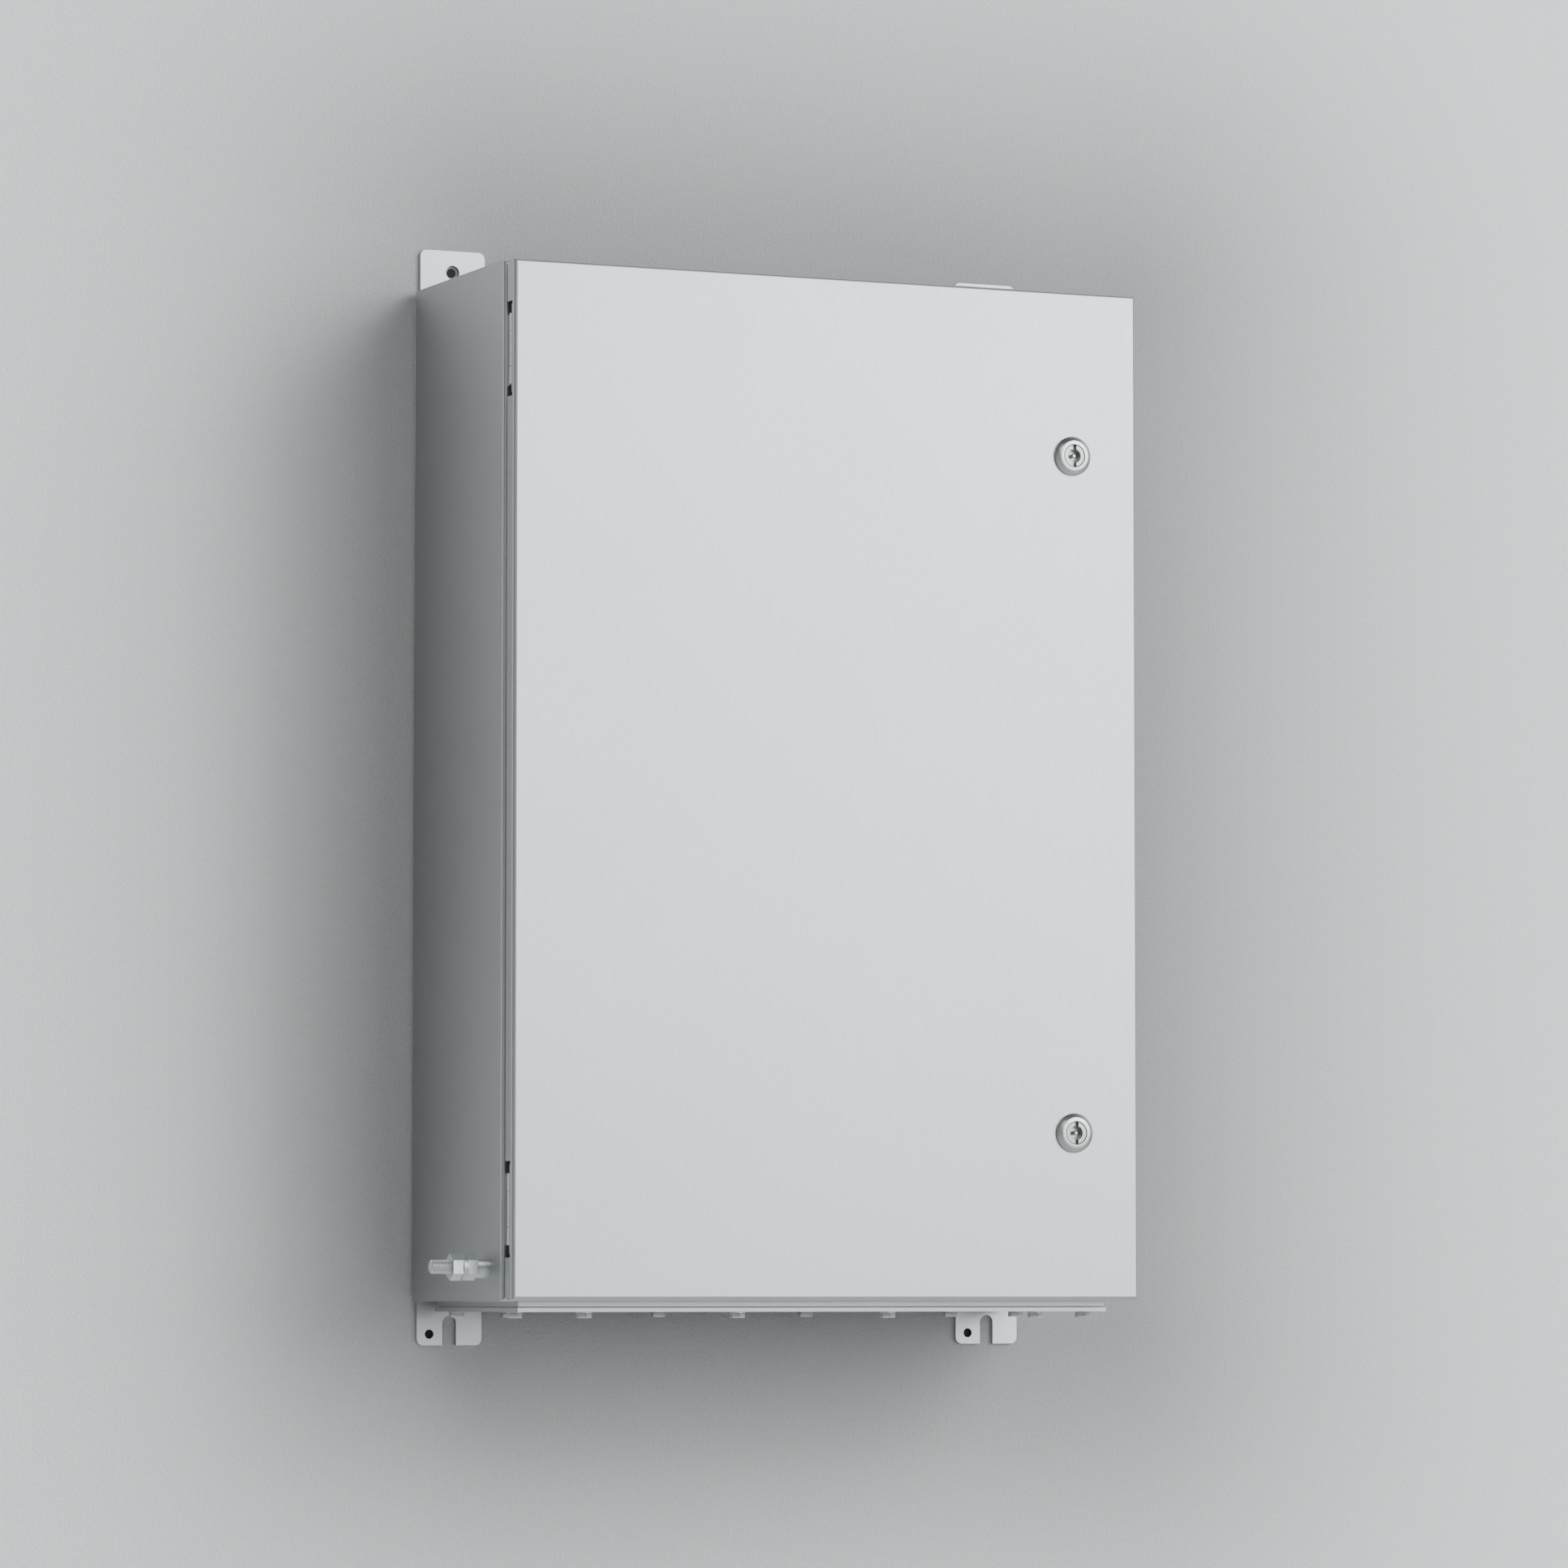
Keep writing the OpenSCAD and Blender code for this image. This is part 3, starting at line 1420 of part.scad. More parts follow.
module control_terminals() {
  depth = 34;
  half = 24;
  gap = 0.2;
  hole_r = 1.8;
  hole_z = 16;
  hole_d = 6;
  front = y_device - depth;
  color([0.60, 0.62, 0.60]) for (i = [0:terminal_n - 1]) {
    x = terminal_x + i * terminal_w;
    difference() {
      block([x, front, z_rail_a - half], [x + terminal_w - gap, y_device, z_rail_a + half]);
      for (t = [-1, 1])
        rod_y(hole_r, x + (terminal_w - gap) / 2, z_rail_a + t * hole_z,
              front - over, front + hole_d);
    }
  }
}

module power_terminals() {
  half = power_h / 2;
  front = y_device - power_d;
  color([0.55, 0.57, 0.58]) for (g = power_groups, k = [0:poles - 1]) {
    x = g + power_pitch * (k - 1.5);
    difference() {
      block([x - power_w / 2, front, z_rail_b - half],
            [x + power_w / 2, y_device, z_rail_b + half]);
      for (t = [-1, 1]) {
        // Screw well, and the mouth that the conductor enters by
        rod_y(well_r, x, z_rail_b + t * well_z, front - over, front + well_d);
        rod_z(cable_r + mouth_gap, x, y_mouth, z_rail_b + (t > 0 ? half - mouth_d : -half - over),
              z_rail_b + (t > 0 ? half + over : -half + mouth_d));
      }
    }
  }
}

module earth_bar() {
  color([0.80, 0.48, 0.30]) {
    difference() {
      block([-earth_half, y_plate - earth_front, z_earth - earth_half_h],
            [earth_half, y_plate - earth_back, z_earth + earth_half_h]);
      for (i = [0:earth_n - 1])
        rod_z(earth_hole_r, (i - (earth_n - 1) / 2) * earth_pitch,
              y_plate - (earth_front + earth_back) / 2,
              z_earth - earth_half_h - over, z_earth + earth_half_h + over);
    }
    for (s = [-1, 1])
      rod_y(earth_foot_r, s * earth_foot_x, z_earth, y_plate - earth_back - eps, y_plate);
  }
}

// Leads from the switch's lugs down into the power terminals
module power_cables() {
  z_enter = z_rail_b + power_h / 2 + cable_straight;
  z_end = z_rail_b + power_h / 2 - mouth_d + cable_stop;
  cable_drop = 16;
  cable_set = 1.5;
  pull_share = 0.45;
  palm_low = 4;
  palm_front = bar_t / 2 + lug_palm_t - lug_gap;
  color([0.15, 0.15, 0.16]) for (side = [0:2], k = [0:poles - 1]) {
    c = lug_at(side, k);
    x_end = terminal_col(side, k);
    top = [c[0], c[1] - cable_set, c[2] - cable_drop];
    mouth = [x_end, y_mouth, z_enter];
    pull = [0, 0, pull_share * (top[2] - z_enter)];
    hanging_cable([top, top - pull, mouth + pull, mouth], [x_end, y_mouth, z_end], cable_r);
    // Lug palm under the screw head
    difference() {
      block([c[0] - lug_half, c[1] - palm_front, top[2] - palm_low],
            [c[0] + lug_half, c[1] - bar_t / 2 - lug_gap, c[2] + lug_tip]);
      rod_y(lug_hole_r, c[0], c[2], c[1] - palm_front - over, c[1]);
    }
  }
}

// ---------------------------------------------------------------- output

housing_shell();
gland_frame();
gland_gasket();
gland_plate();
gland_bolts();
upper_wall_brackets();
lower_wall_brackets();
bracket_screws();
earth_stud();
earth_stud_nuts();
hinge_body_leaves();
hinge_pins();
mounting_plate();
plate_studs();
plate_nuts();
body_bond_stud();
switch_base_plate();
switch_decks();
switch_contacts();
terminal_screws();
switch_tie_rods();
drive_housing();
drive_cover();
drive_motor();
din_rails();
controller_housing();
controller_window();
controller_lamps();
breaker_housings();
control_relays();
control_terminals();
power_terminals();
earth_bar();
wiring_ducts();
duct_lids();
power_cables();
changeover_shaft();
contact_rotors();
rotor_contacts();
main_gear();
manual_handle();
idler_gear();
motor_pinion();
mode_selector();
breaker_toggle_1();
breaker_toggle_2();
mode_button();
test_button();
reset_button();
door_panel();
door_gasket();
hinge_door_leaves();
lock_housings();
lock_nuts();
door_bond_stud();
upper_lock_insert();
upper_lock_cam();
lower_lock_insert();
lower_lock_cam();
door_bond_strap();
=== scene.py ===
"""Looks of a wall-hung automatic transfer switch in a stainless steel enclosure.

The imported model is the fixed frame. This script dresses its nodes, puts finely
made pieces in place of the plainer ones, and sets the wall, the lights and the
camera. Lengths are metres: X to the right, Y into the wall, Z up.
"""

from __future__ import annotations

import logging
import math
from dataclasses import dataclass, field
from enum import Enum
from typing import Protocol

import bpy
from mathutils import Matrix, Vector


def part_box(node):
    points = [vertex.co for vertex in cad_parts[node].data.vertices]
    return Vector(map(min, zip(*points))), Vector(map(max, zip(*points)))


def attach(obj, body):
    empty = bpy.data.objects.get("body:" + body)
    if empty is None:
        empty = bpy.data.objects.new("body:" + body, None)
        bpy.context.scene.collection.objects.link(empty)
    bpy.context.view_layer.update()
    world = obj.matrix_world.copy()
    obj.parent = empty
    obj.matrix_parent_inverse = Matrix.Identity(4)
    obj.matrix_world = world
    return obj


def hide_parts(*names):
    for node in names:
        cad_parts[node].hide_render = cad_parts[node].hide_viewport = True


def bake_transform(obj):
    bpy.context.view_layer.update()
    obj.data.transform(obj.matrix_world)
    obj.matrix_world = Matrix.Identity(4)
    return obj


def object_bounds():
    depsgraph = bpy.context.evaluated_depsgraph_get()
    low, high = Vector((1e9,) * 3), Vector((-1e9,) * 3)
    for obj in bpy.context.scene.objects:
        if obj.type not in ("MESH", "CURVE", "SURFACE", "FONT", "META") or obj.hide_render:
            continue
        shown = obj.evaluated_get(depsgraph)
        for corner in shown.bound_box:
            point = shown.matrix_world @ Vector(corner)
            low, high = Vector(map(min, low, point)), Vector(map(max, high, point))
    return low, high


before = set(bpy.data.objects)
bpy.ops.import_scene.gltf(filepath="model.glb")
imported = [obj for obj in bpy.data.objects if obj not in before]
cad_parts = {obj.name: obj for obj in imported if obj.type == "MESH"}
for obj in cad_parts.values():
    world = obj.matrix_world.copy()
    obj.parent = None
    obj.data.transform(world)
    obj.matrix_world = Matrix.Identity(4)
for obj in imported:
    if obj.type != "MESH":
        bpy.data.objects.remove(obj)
CAD_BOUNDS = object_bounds()

log = logging.getLogger("transfer_switch")
MM = 0.001
Colour = tuple[float, float, float]
# Distance along the axis and radius at each step of a turned piece
Profile = tuple[tuple[float, float], ...]


def in_mm(*steps: tuple[float, float]) -> Profile:
    """A profile whose steps are given in millimetres."""
    return tuple((along * MM, radius * MM) for along, radius in steps)


# ------------------------------------------------------------------ shader kit


class Value:
    """An output socket that takes part in ordinary Python arithmetic."""

    def __init__(self, graph: Graph, socket: bpy.types.NodeSocket) -> None:
        """Wraps a socket of the graph."""
        self.graph = graph
        self.socket = socket

    def _math(self, operation: str, first: Operand, second: Operand) -> Value:
        """Adds a Math node that works on the two operands."""
        return self.graph.node("ShaderNodeMath", {"operation": operation}, {0: first, 1: second})

    def __add__(self, other: Operand) -> Value:
        """Self plus other."""
        return self._math("ADD", self, other)

    def __sub__(self, other: Operand) -> Value:
        """Self minus other."""
        return self._math("SUBTRACT", self, other)

    def __rsub__(self, other: Operand) -> Value:
        """Other minus self."""
        return self._math("SUBTRACT", other, self)

    def __mul__(self, other: Operand) -> Value:
        """Self times other."""
        return self._math("MULTIPLY", self, other)

    __radd__ = __add__
    __rmul__ = __mul__


Operand = Value | float


class Graph:
    """One material's node tree."""

    def __init__(self, name: str) -> None:
        """Makes an empty material of that name."""
        self.material = bpy.data.materials.new(name)
        self.material.use_nodes = True
        self.tree = self.material.node_tree
        self.tree.nodes.clear()

    def node(
        self,
        kind: str,
        settings: dict[str, object] | None = None,
        inputs: dict[int | str, object] | None = None,
        output: int = 0,
    ) -> Value | None:
        """Adds a node.

        Args:
            kind: the node's type name.
            settings: its properties, set first; "stops" fills a colour ramp.
            inputs: values, or Values to link, by socket name or number.
            output: the number of the output that is wanted.

        Returns:
            That output, or None for a node without outputs.
        """
        made = self.tree.nodes.new(kind)
        for key, setting in (settings or {}).items():
            if key == "stops":
                self._fill_ramp(made.color_ramp, setting)
            else:
                setattr(made, key, setting)
        for key, given in (inputs or {}).items():
            if isinstance(given, Value):
                self.tree.links.new(given.socket, made.inputs[key])
            else:
                made.inputs[key].default_value = given
        return Value(self, made.outputs[output]) if made.outputs else None

    @staticmethod
    def _fill_ramp(ramp: bpy.types.ColorRamp, stops: list[tuple[float, Colour]]) -> None:
        """Puts the stops on a ramp, which starts with two."""
        while len(ramp.elements) < len(stops):
            ramp.elements.new(1.0)
        for element, (position, colour) in zip(ramp.elements, stops):
            element.position = position
            element.color = (*colour, 1.0)

    def place(self, stretch: Colour = (1.0, 1.0, 1.0)) -> Value:
        """Object coordinates, multiplied by stretch."""
        raw = self.node("ShaderNodeTexCoord", output=3)
        return self.node("ShaderNodeMapping", inputs={"Vector": raw, "Scale": stretch})

    def vector(self, operation: str, first: object, second: object = (0.0, 0.0, 0.0)) -> Value:
        """Works on two vectors, or on the first alone."""
        return self.node("ShaderNodeVectorMath", {"operation": operation}, {0: first, 1: second})

    def noise(self, where: Value, scale: float, detail: float = 2.0) -> Value:
        """Smooth noise from 0 to 1 at so many waves a metre."""
        return self.node(
            "ShaderNodeTexNoise", inputs={"Vector": where, "Scale": scale, "Detail": detail}
        )

    def mix(self, share: Operand, first: object, second: object) -> Value:
        """A colour between first and second."""
        sockets = {0: share, 6: _paint(first), 7: _paint(second)}
        return self.node("ShaderNodeMix", {"data_type": "RGBA"}, sockets, output=2)

    def surface(self, look: Look, finish: Finish) -> bpy.types.Material:
        """Joins a look to the shader, with the finish's constants on its sockets.

        Args:
            look: what changes over the surface.
            finish: the finish it belongs to.

        Returns:
            The finished material.
        """
        sockets: dict[int | str, object] = {
            "Base Color": _paint(look.colour),
            "Roughness": look.roughness,
            "Metallic": finish.metallic,
            "Coat Weight": finish.coat,
            "Coat Roughness": finish.coat_roughness,
            "Alpha": finish.alpha,
        }
        if look.height is not None:
            sockets["Normal"] = self.node(
                "ShaderNodeBump",
                inputs={"Height": look.height, "Strength": 1.0, "Distance": look.depth},
            )
        if look.glow is not None:
            sockets["Emission Color"] = look.glow
            sockets["Emission Strength"] = finish.glow_strength
        shader = self.node("ShaderNodeBsdfPrincipled", inputs=sockets)
        self.node("ShaderNodeOutputMaterial", inputs={"Surface": shader})
        return self.material


def _paint(colour: object) -> object:
    """A colour with its alpha, or the Value itself."""
    return colour if isinstance(colour, Value) else (*colour, 1.0)


@dataclass
class Look:
    """What changes over a surface: colour, roughness, relief and glow."""

    colour: object
    roughness: Operand
    height: Value | None = None
    depth: float = 0.0
    glow: Value | None = None


# -------------------------------------------------------------------- finishes


@dataclass(frozen=True)
class Finish:
    """A plain moulded finish, and the base of every other one."""

    name: str
    tint: Colour
    roughness: float = 0.45
    metallic: float = 0.0
    coat: float = 0.0
    coat_roughness: float = 0.2
    alpha: float = 1.0
    glow_strength: float = 0.0
    mottle: float = 0.08
    grain: float = 2600.0
    depth: float = 0.00002

    def look(self, graph: Graph) -> Look:
        """The fine leather-like texture of a mould, with slight shade changes.

        Args:
            graph: the material's node tree.

        Returns:
            What changes over the surface.
        """
        where = graph.place()
        texture = graph.noise(where, self.grain, 3.0)
        shade = graph.noise(where, 14.0)
        colour = graph.mix(shade * 0.6 + texture * 0.4, self._shade(-1), self._shade(1))
        rough = self.roughness + 0.10 * (shade - 0.5) + 0.10 * (texture - 0.5)
        return Look(colour, rough, texture, self.depth)

    def _shade(self, side: int) -> Colour:
        """The tint, darker or lighter by the mottle."""
        return tuple(min(1.0, part * (1.0 + side * self.mottle)) for part in self.tint)

    def build(self) -> bpy.types.Material:
        """Makes the material, once for each name.

        Returns:
            The material.
        """
        found = bpy.data.materials.get(self.name)
        if found is not None:
            return found
        graph = Graph(self.name)
        return graph.surface(self.look(graph), self)


@dataclass(frozen=True)
class GroundSheet(Finish):
    """Stainless sheet ground with a belt, its fine lines running up and down."""

    metallic: float = 1.0
    stretch: Colour = (2200.0, 2200.0, 45.0)

    def look(self, graph: Graph) -> Look:
        """Long fine scratches, broken up, with a soft cloudiness from handling.

        Args:
            graph: the material's node tree.

        Returns:
            What changes over the surface.
        """
        lines = graph.noise(graph.place(self.stretch), 1.0, 3.0)
        specks = graph.noise(graph.place(), 900.0)
        cloud = graph.noise(graph.place(), 5.0, 3.0)
        shade = lines * 0.35 + specks * 0.45 + cloud * 0.2
        colour = graph.mix(shade, self._shade(-1), self._shade(1))
        rough = self.roughness + 0.10 * (lines - 0.5) + 0.06 * (cloud - 0.5)
        return Look(colour, rough, lines + 0.5 * specks, self.depth)


@dataclass(frozen=True)
class TurnedMetal(Finish):
    """Metal with fine tool marks and a little tarnish in patches."""

    metallic: float = 1.0
    tarnish: Colour = (0.30, 0.28, 0.25)
    tarnish_share: float = 0.25

    def look(self, graph: Graph) -> Look:
        """Close marks on the metal, and darker patches where it has aged.

        Args:
            graph: the material's node tree.

        Returns:
            What changes over the surface.
        """
        where = graph.place()
        marks = graph.noise(graph.place((3000.0, 3000.0, 700.0)), 1.0, 2.0)
        patches = graph.noise(where, 60.0, 4.0)
        worn = graph.mix(self.tarnish_share * patches, self.tint, self.tarnish)
        colour = graph.mix(marks * 0.5, worn, self._shade(-1))
        rough = self.roughness + 0.16 * (patches - 0.5) + 0.10 * (marks - 0.5)
        return Look(colour, rough, marks, self.depth)


@dataclass(frozen=True)
class Spangle(Finish):
    """Galvanised sheet with its crystal spangle."""

    metallic: float = 1.0
    crystal: float = 130.0

    def look(self, graph: Graph) -> Look:
        """Flat crystals, each with its own shade and shine.

        Args:
            graph: the material's node tree.

        Returns:
            What changes over the surface.
        """
        where = graph.place()
        cells = graph.node(
            "ShaderNodeTexVoronoi", {"feature": "F1"}, {"Vector": where, "Scale": self.crystal}, 1
        )
        shine = graph.node("ShaderNodeSeparateColor", inputs={"Color": cells})
        fine = graph.noise(where, 1800.0, 2.0)
        colour = graph.mix(shine * 0.7 + fine * 0.3, self._shade(-1), self._shade(1))
        rough = self.roughness + 0.18 * (shine - 0.5) + 0.05 * (fine - 0.5)
        return Look(colour, rough, fine, self.depth)


@dataclass(frozen=True)
class Foam(Finish):
    """Foamed seal with open pores."""

    pore: float = 1500.0

    def look(self, graph: Graph) -> Look:
        """Pores of many sizes under a dull skin.

        Args:
            graph: the material's node tree.

        Returns:
            What changes over the surface.
        """
        where = graph.place()
        pores = graph.node(
            "ShaderNodeTexVoronoi", {"feature": "F1"}, {"Vector": where, "Scale": self.pore}
        )
        waves = graph.noise(where, 40.0, 3.0)
        colour = graph.mix(pores * 0.7 + waves * 0.3, self._shade(-1), self._shade(1))
        return Look(colour, self.roughness + 0.1 * (waves - 0.5), pores, self.depth)


@dataclass(frozen=True)
class Braid(Finish):
    """Flat braid of tinned copper wires, crossing both ways."""

    metallic: float = 1.0
    strands: float = 1250.0

    def look(self, graph: Graph) -> Look:
        """Two sets of slanting wires, one over the other.

        Args:
            graph: the material's node tree.

        Returns:
            What changes over the surface.
        """
        relief: Value | None = None
        for turn in (35.0, -35.0):
            raw = graph.node("ShaderNodeTexCoord", output=3)
            slant = tuple(math.radians(turn) for _ in range(3))
            where = graph.node("ShaderNodeMapping", inputs={"Vector": raw, "Rotation": slant})
            band = graph.node(
                "ShaderNodeTexWave",
                {"wave_type": "BANDS", "bands_direction": "Z"},
                {"Vector": where, "Scale": self.strands / 6.3, "Distortion": 0.4},
                1,
            )
            relief = band if relief is None else relief * 0.5 + band * 0.5
        colour = graph.mix(relief, self._shade(-1), self._shade(1))
        return Look(colour, self.roughness + 0.15 * (1 - relief), relief, self.depth)


@dataclass(frozen=True)
class LampRow(Finish):
    """A row of small lenses that are told apart by their place along X."""

    start: float = 0.0
    end: float = 1.0
    colours: tuple[Colour, ...] = ()

    def look(self, graph: Graph) -> Look:
        """One colour for each lens, brighter in its middle speckle.

        Args:
            graph: the material's node tree.

        Returns:
            What changes over the surface.
        """
        raw = graph.node("ShaderNodeTexCoord", output=3)
        across = graph.node("ShaderNodeSeparateXYZ", inputs={"Vector": raw})
        share = (across - self.start) * (1.0 / (self.end - self.start))
        count = len(self.colours)
        stops = [(i / count, colour) for i, colour in enumerate(self.colours)]
        ramp = graph.node("ShaderNodeValToRGB", {"stops": stops}, {"Fac": share})
        ramp.socket.node.color_ramp.interpolation = "CONSTANT"
        frost = graph.noise(graph.place(), 4000.0)
        colour = graph.mix(frost * 0.3, ramp, (0.9, 0.9, 0.9))
        return Look(colour, self.roughness + 0.1 * frost, frost, self.depth, ramp)


@dataclass(frozen=True)
class OneSided(Finish):
    """Painted wall or floor of the studio, which isn't seen from its back, with a painted shadow
    darkening it around the enclosure.
    """

    speck: float = 420.0
    # middle and half give the box that the painted shadow surrounds: the enclosure's outline moved
    # 80 mm right, so the painted shadow reaches further on the left; painted_shadow_share is the
    # tint kept at its darkest, painted_shadow_fade and bend set how it fades
    middle: Colour = (0.08, 0.0, -0.3975)
    half: Colour = (0.254, 1.0, 0.396)
    painted_shadow_share: float = 0.37
    painted_shadow_fade: float = 0.50
    bend: float = 0.7

    def build(self) -> bpy.types.Material:
        """A fine plaster in front, darkened by a painted shadow around the enclosure, and nothing
        behind.

        Returns:
            The material.
        """
        graph = Graph(self.name)
        where = graph.place()
        plaster = graph.noise(where, self.speck, 4.0)
        speckled = graph.mix(plaster, self._shade(-1), self._shade(1))
        # dark and light are the plaster's tones inside the painted shadow around the enclosure
        dark = tuple(part * self.painted_shadow_share for part in self._shade(-1))
        light = tuple(part * self.painted_shadow_share for part in self._shade(1))
        painted_shadow_colour = graph.mix(plaster, dark, light)
        colour = graph.mix(self._painted_shadow(graph), speckled, painted_shadow_colour)
        bump = graph.node(
            "ShaderNodeBump", inputs={"Height": plaster, "Strength": 1.0, "Distance": self.depth}
        )
        paint = graph.node(
            "ShaderNodeBsdfPrincipled",
            inputs={"Base Color": colour, "Roughness": self.roughness, "Normal": bump},
        )
        clear = graph.node("ShaderNodeBsdfTransparent")
        back = graph.node("ShaderNodeNewGeometry", output=6)
        seen = graph.node("ShaderNodeMixShader", inputs={0: back, 1: paint, 2: clear})
        graph.node("ShaderNodeOutputMaterial", inputs={"Surface": seen})
        return graph.material

    def _painted_shadow(self, graph: Graph) -> Value:
        """Share of painted shadow: 1 around the enclosure's outline, fading to 0 away from it.

        Args:
            graph: the material's node tree.

        Returns:
            The painted shadow's share, from 0 to 1.
        """
        raw = graph.node("ShaderNodeTexCoord", output=3)
        offset = graph.vector("SUBTRACT", raw, self.middle)
        outside = graph.vector("SUBTRACT", graph.vector("ABSOLUTE", offset), self.half)
        kept = graph.vector("MAXIMUM", outside, (0.0, 0.0, 0.0))
        away = graph.node("ShaderNodeVectorMath", {"operation": "LENGTH"}, {0: kept}, 1)
        share = graph.node(
            "ShaderNodeMath",
            {"operation": "POWER"},
            {0: away * (1.0 / self.painted_shadow_fade), 1: self.bend},
        )
        return graph.node(
            "ShaderNodeMapRange",
            {"interpolation_type": "SMOOTHSTEP"},
            {"Value": share, "From Min": 0.0, "From Max": 1.0, "To Min": 1.0, "To Max": 0.0},
        )


SHEET = GroundSheet(
    "satin_stainless_sheet", (0.484, 0.500, 0.514), roughness=0.42, mottle=0.13, depth=0.000004
)
PLATE = GroundSheet(
    "satin_stainless_plate", (0.525, 0.527, 0.529), roughness=0.45, mottle=0.05, depth=0.000006
)
FASTENER = TurnedMetal(
    "stainless_fastener", (0.62, 0.63, 0.64), roughness=0.30, tarnish_share=0.10, depth=0.000004
)
CASTING = TurnedMetal(
    "satin_cast_lock", (0.60, 0.60, 0.59), roughness=0.36, tarnish_share=0.15, depth=0.000008
)
INSERT = TurnedMetal(
    "dark_cast_insert", (0.40, 0.40, 0.39), roughness=0.38, tarnish_share=0.25, depth=0.00001
)
ZINC = TurnedMetal("bright_zinc", (0.66, 0.67, 0.66), roughness=0.32, tarnish=(0.45, 0.47, 0.50))
RAIL_ZINC = TurnedMetal(
    "passivated_zinc", (0.72, 0.71, 0.62), roughness=0.34, tarnish=(0.60, 0.50, 0.55)
)
SHAFT_STEEL = TurnedMetal(
    "ground_shaft_steel", (0.52, 0.53, 0.54), roughness=0.25, tarnish_share=0.1
)
BRASS = TurnedMetal(
    "machined_brass", (0.72, 0.52, 0.24), roughness=0.30, tarnish=(0.40, 0.26, 0.12)
)
COPPER = TurnedMetal(
    "bare_copper",
    (0.78, 0.40, 0.24),
    roughness=0.34,
    tarnish=(0.38, 0.17, 0.10),
    tarnish_share=0.45,
)
SILVERED = TurnedMetal(
    "silvered_copper", (0.82, 0.72, 0.64), roughness=0.3, tarnish=(0.55, 0.36, 0.26)
)
ANODISED = GroundSheet(
    "anodised_cover",
    (0.70, 0.71, 0.72),
    roughness=0.38,
    mottle=0.04,
    stretch=(60.0, 2200.0, 2200.0),
    depth=0.000004,
)
GALVANISED = Spangle(
    "galvanised_sheet", (0.55, 0.57, 0.59), roughness=0.42, mottle=0.10, depth=0.000006
)
GASKET = Foam("foam_gasket", (0.035, 0.035, 0.037), roughness=0.9, mottle=0.4, depth=0.0002)
SILICONE = Finish("silicone_gasket", (0.30, 0.31, 0.32), roughness=0.7)
BLACK_CASE = Finish("black_thermoset", (0.030, 0.032, 0.035), roughness=0.42, mottle=0.2)
CREAM_CASE = Finish("cream_thermoset", (0.66, 0.62, 0.50), roughness=0.5)
ACETAL = Finish("natural_acetal", (0.78, 0.74, 0.62), roughness=0.38, coat=0.1)
MOTOR = Finish("motor_paint", (0.055, 0.058, 0.062), roughness=0.4, coat=0.3, mottle=0.15)
RED_NYLON = Finish("red_handle", (0.55, 0.020, 0.012), roughness=0.38, mottle=0.12)
BLACK_NYLON = Finish("black_nylon", (0.025, 0.025, 0.027), roughness=0.45, mottle=0.2)
DARK_CASE = Finish("dark_grey_case", (0.065, 0.070, 0.076), roughness=0.5, mottle=0.12)
PALE_CASE = Finish("pale_grey_case", (0.66, 0.665, 0.65), roughness=0.42, mottle=0.05)
WINDOW = Finish(
    "tinted_window", (0.30, 0.42, 0.40), roughness=0.08, coat=1.0, coat_roughness=0.03, alpha=0.35
)
KEY_RUBBER = Finish("grey_key", (0.42, 0.44, 0.46), roughness=0.55)
RELAY = Finish("relay_cover", (0.50, 0.54, 0.56), roughness=0.18, coat=0.8, coat_roughness=0.05)
TERMINAL = Finish("grey_polyamide", (0.30, 0.315, 0.31), roughness=0.5, mottle=0.1)
DUCT = Finish("grey_vinyl", (0.30, 0.32, 0.335), roughness=0.46, mottle=0.06)
TINNED = TurnedMetal("tinned_lug", (0.74, 0.73, 0.70), roughness=0.3, tarnish_share=0.1)
STRAP = Braid("tinned_braid", (0.62, 0.58, 0.52), roughness=0.42, mottle=0.35, depth=0.0003)
LEADS = (
    Finish("brown_insulation", (0.13, 0.045, 0.018), roughness=0.42, mottle=0.15),
    Finish("black_insulation", (0.018, 0.018, 0.020), roughness=0.42, mottle=0.2),
    Finish("grey_insulation", (0.25, 0.26, 0.27), roughness=0.42, mottle=0.08),
    Finish("blue_insulation", (0.015, 0.075, 0.36), roughness=0.42, mottle=0.12),
)


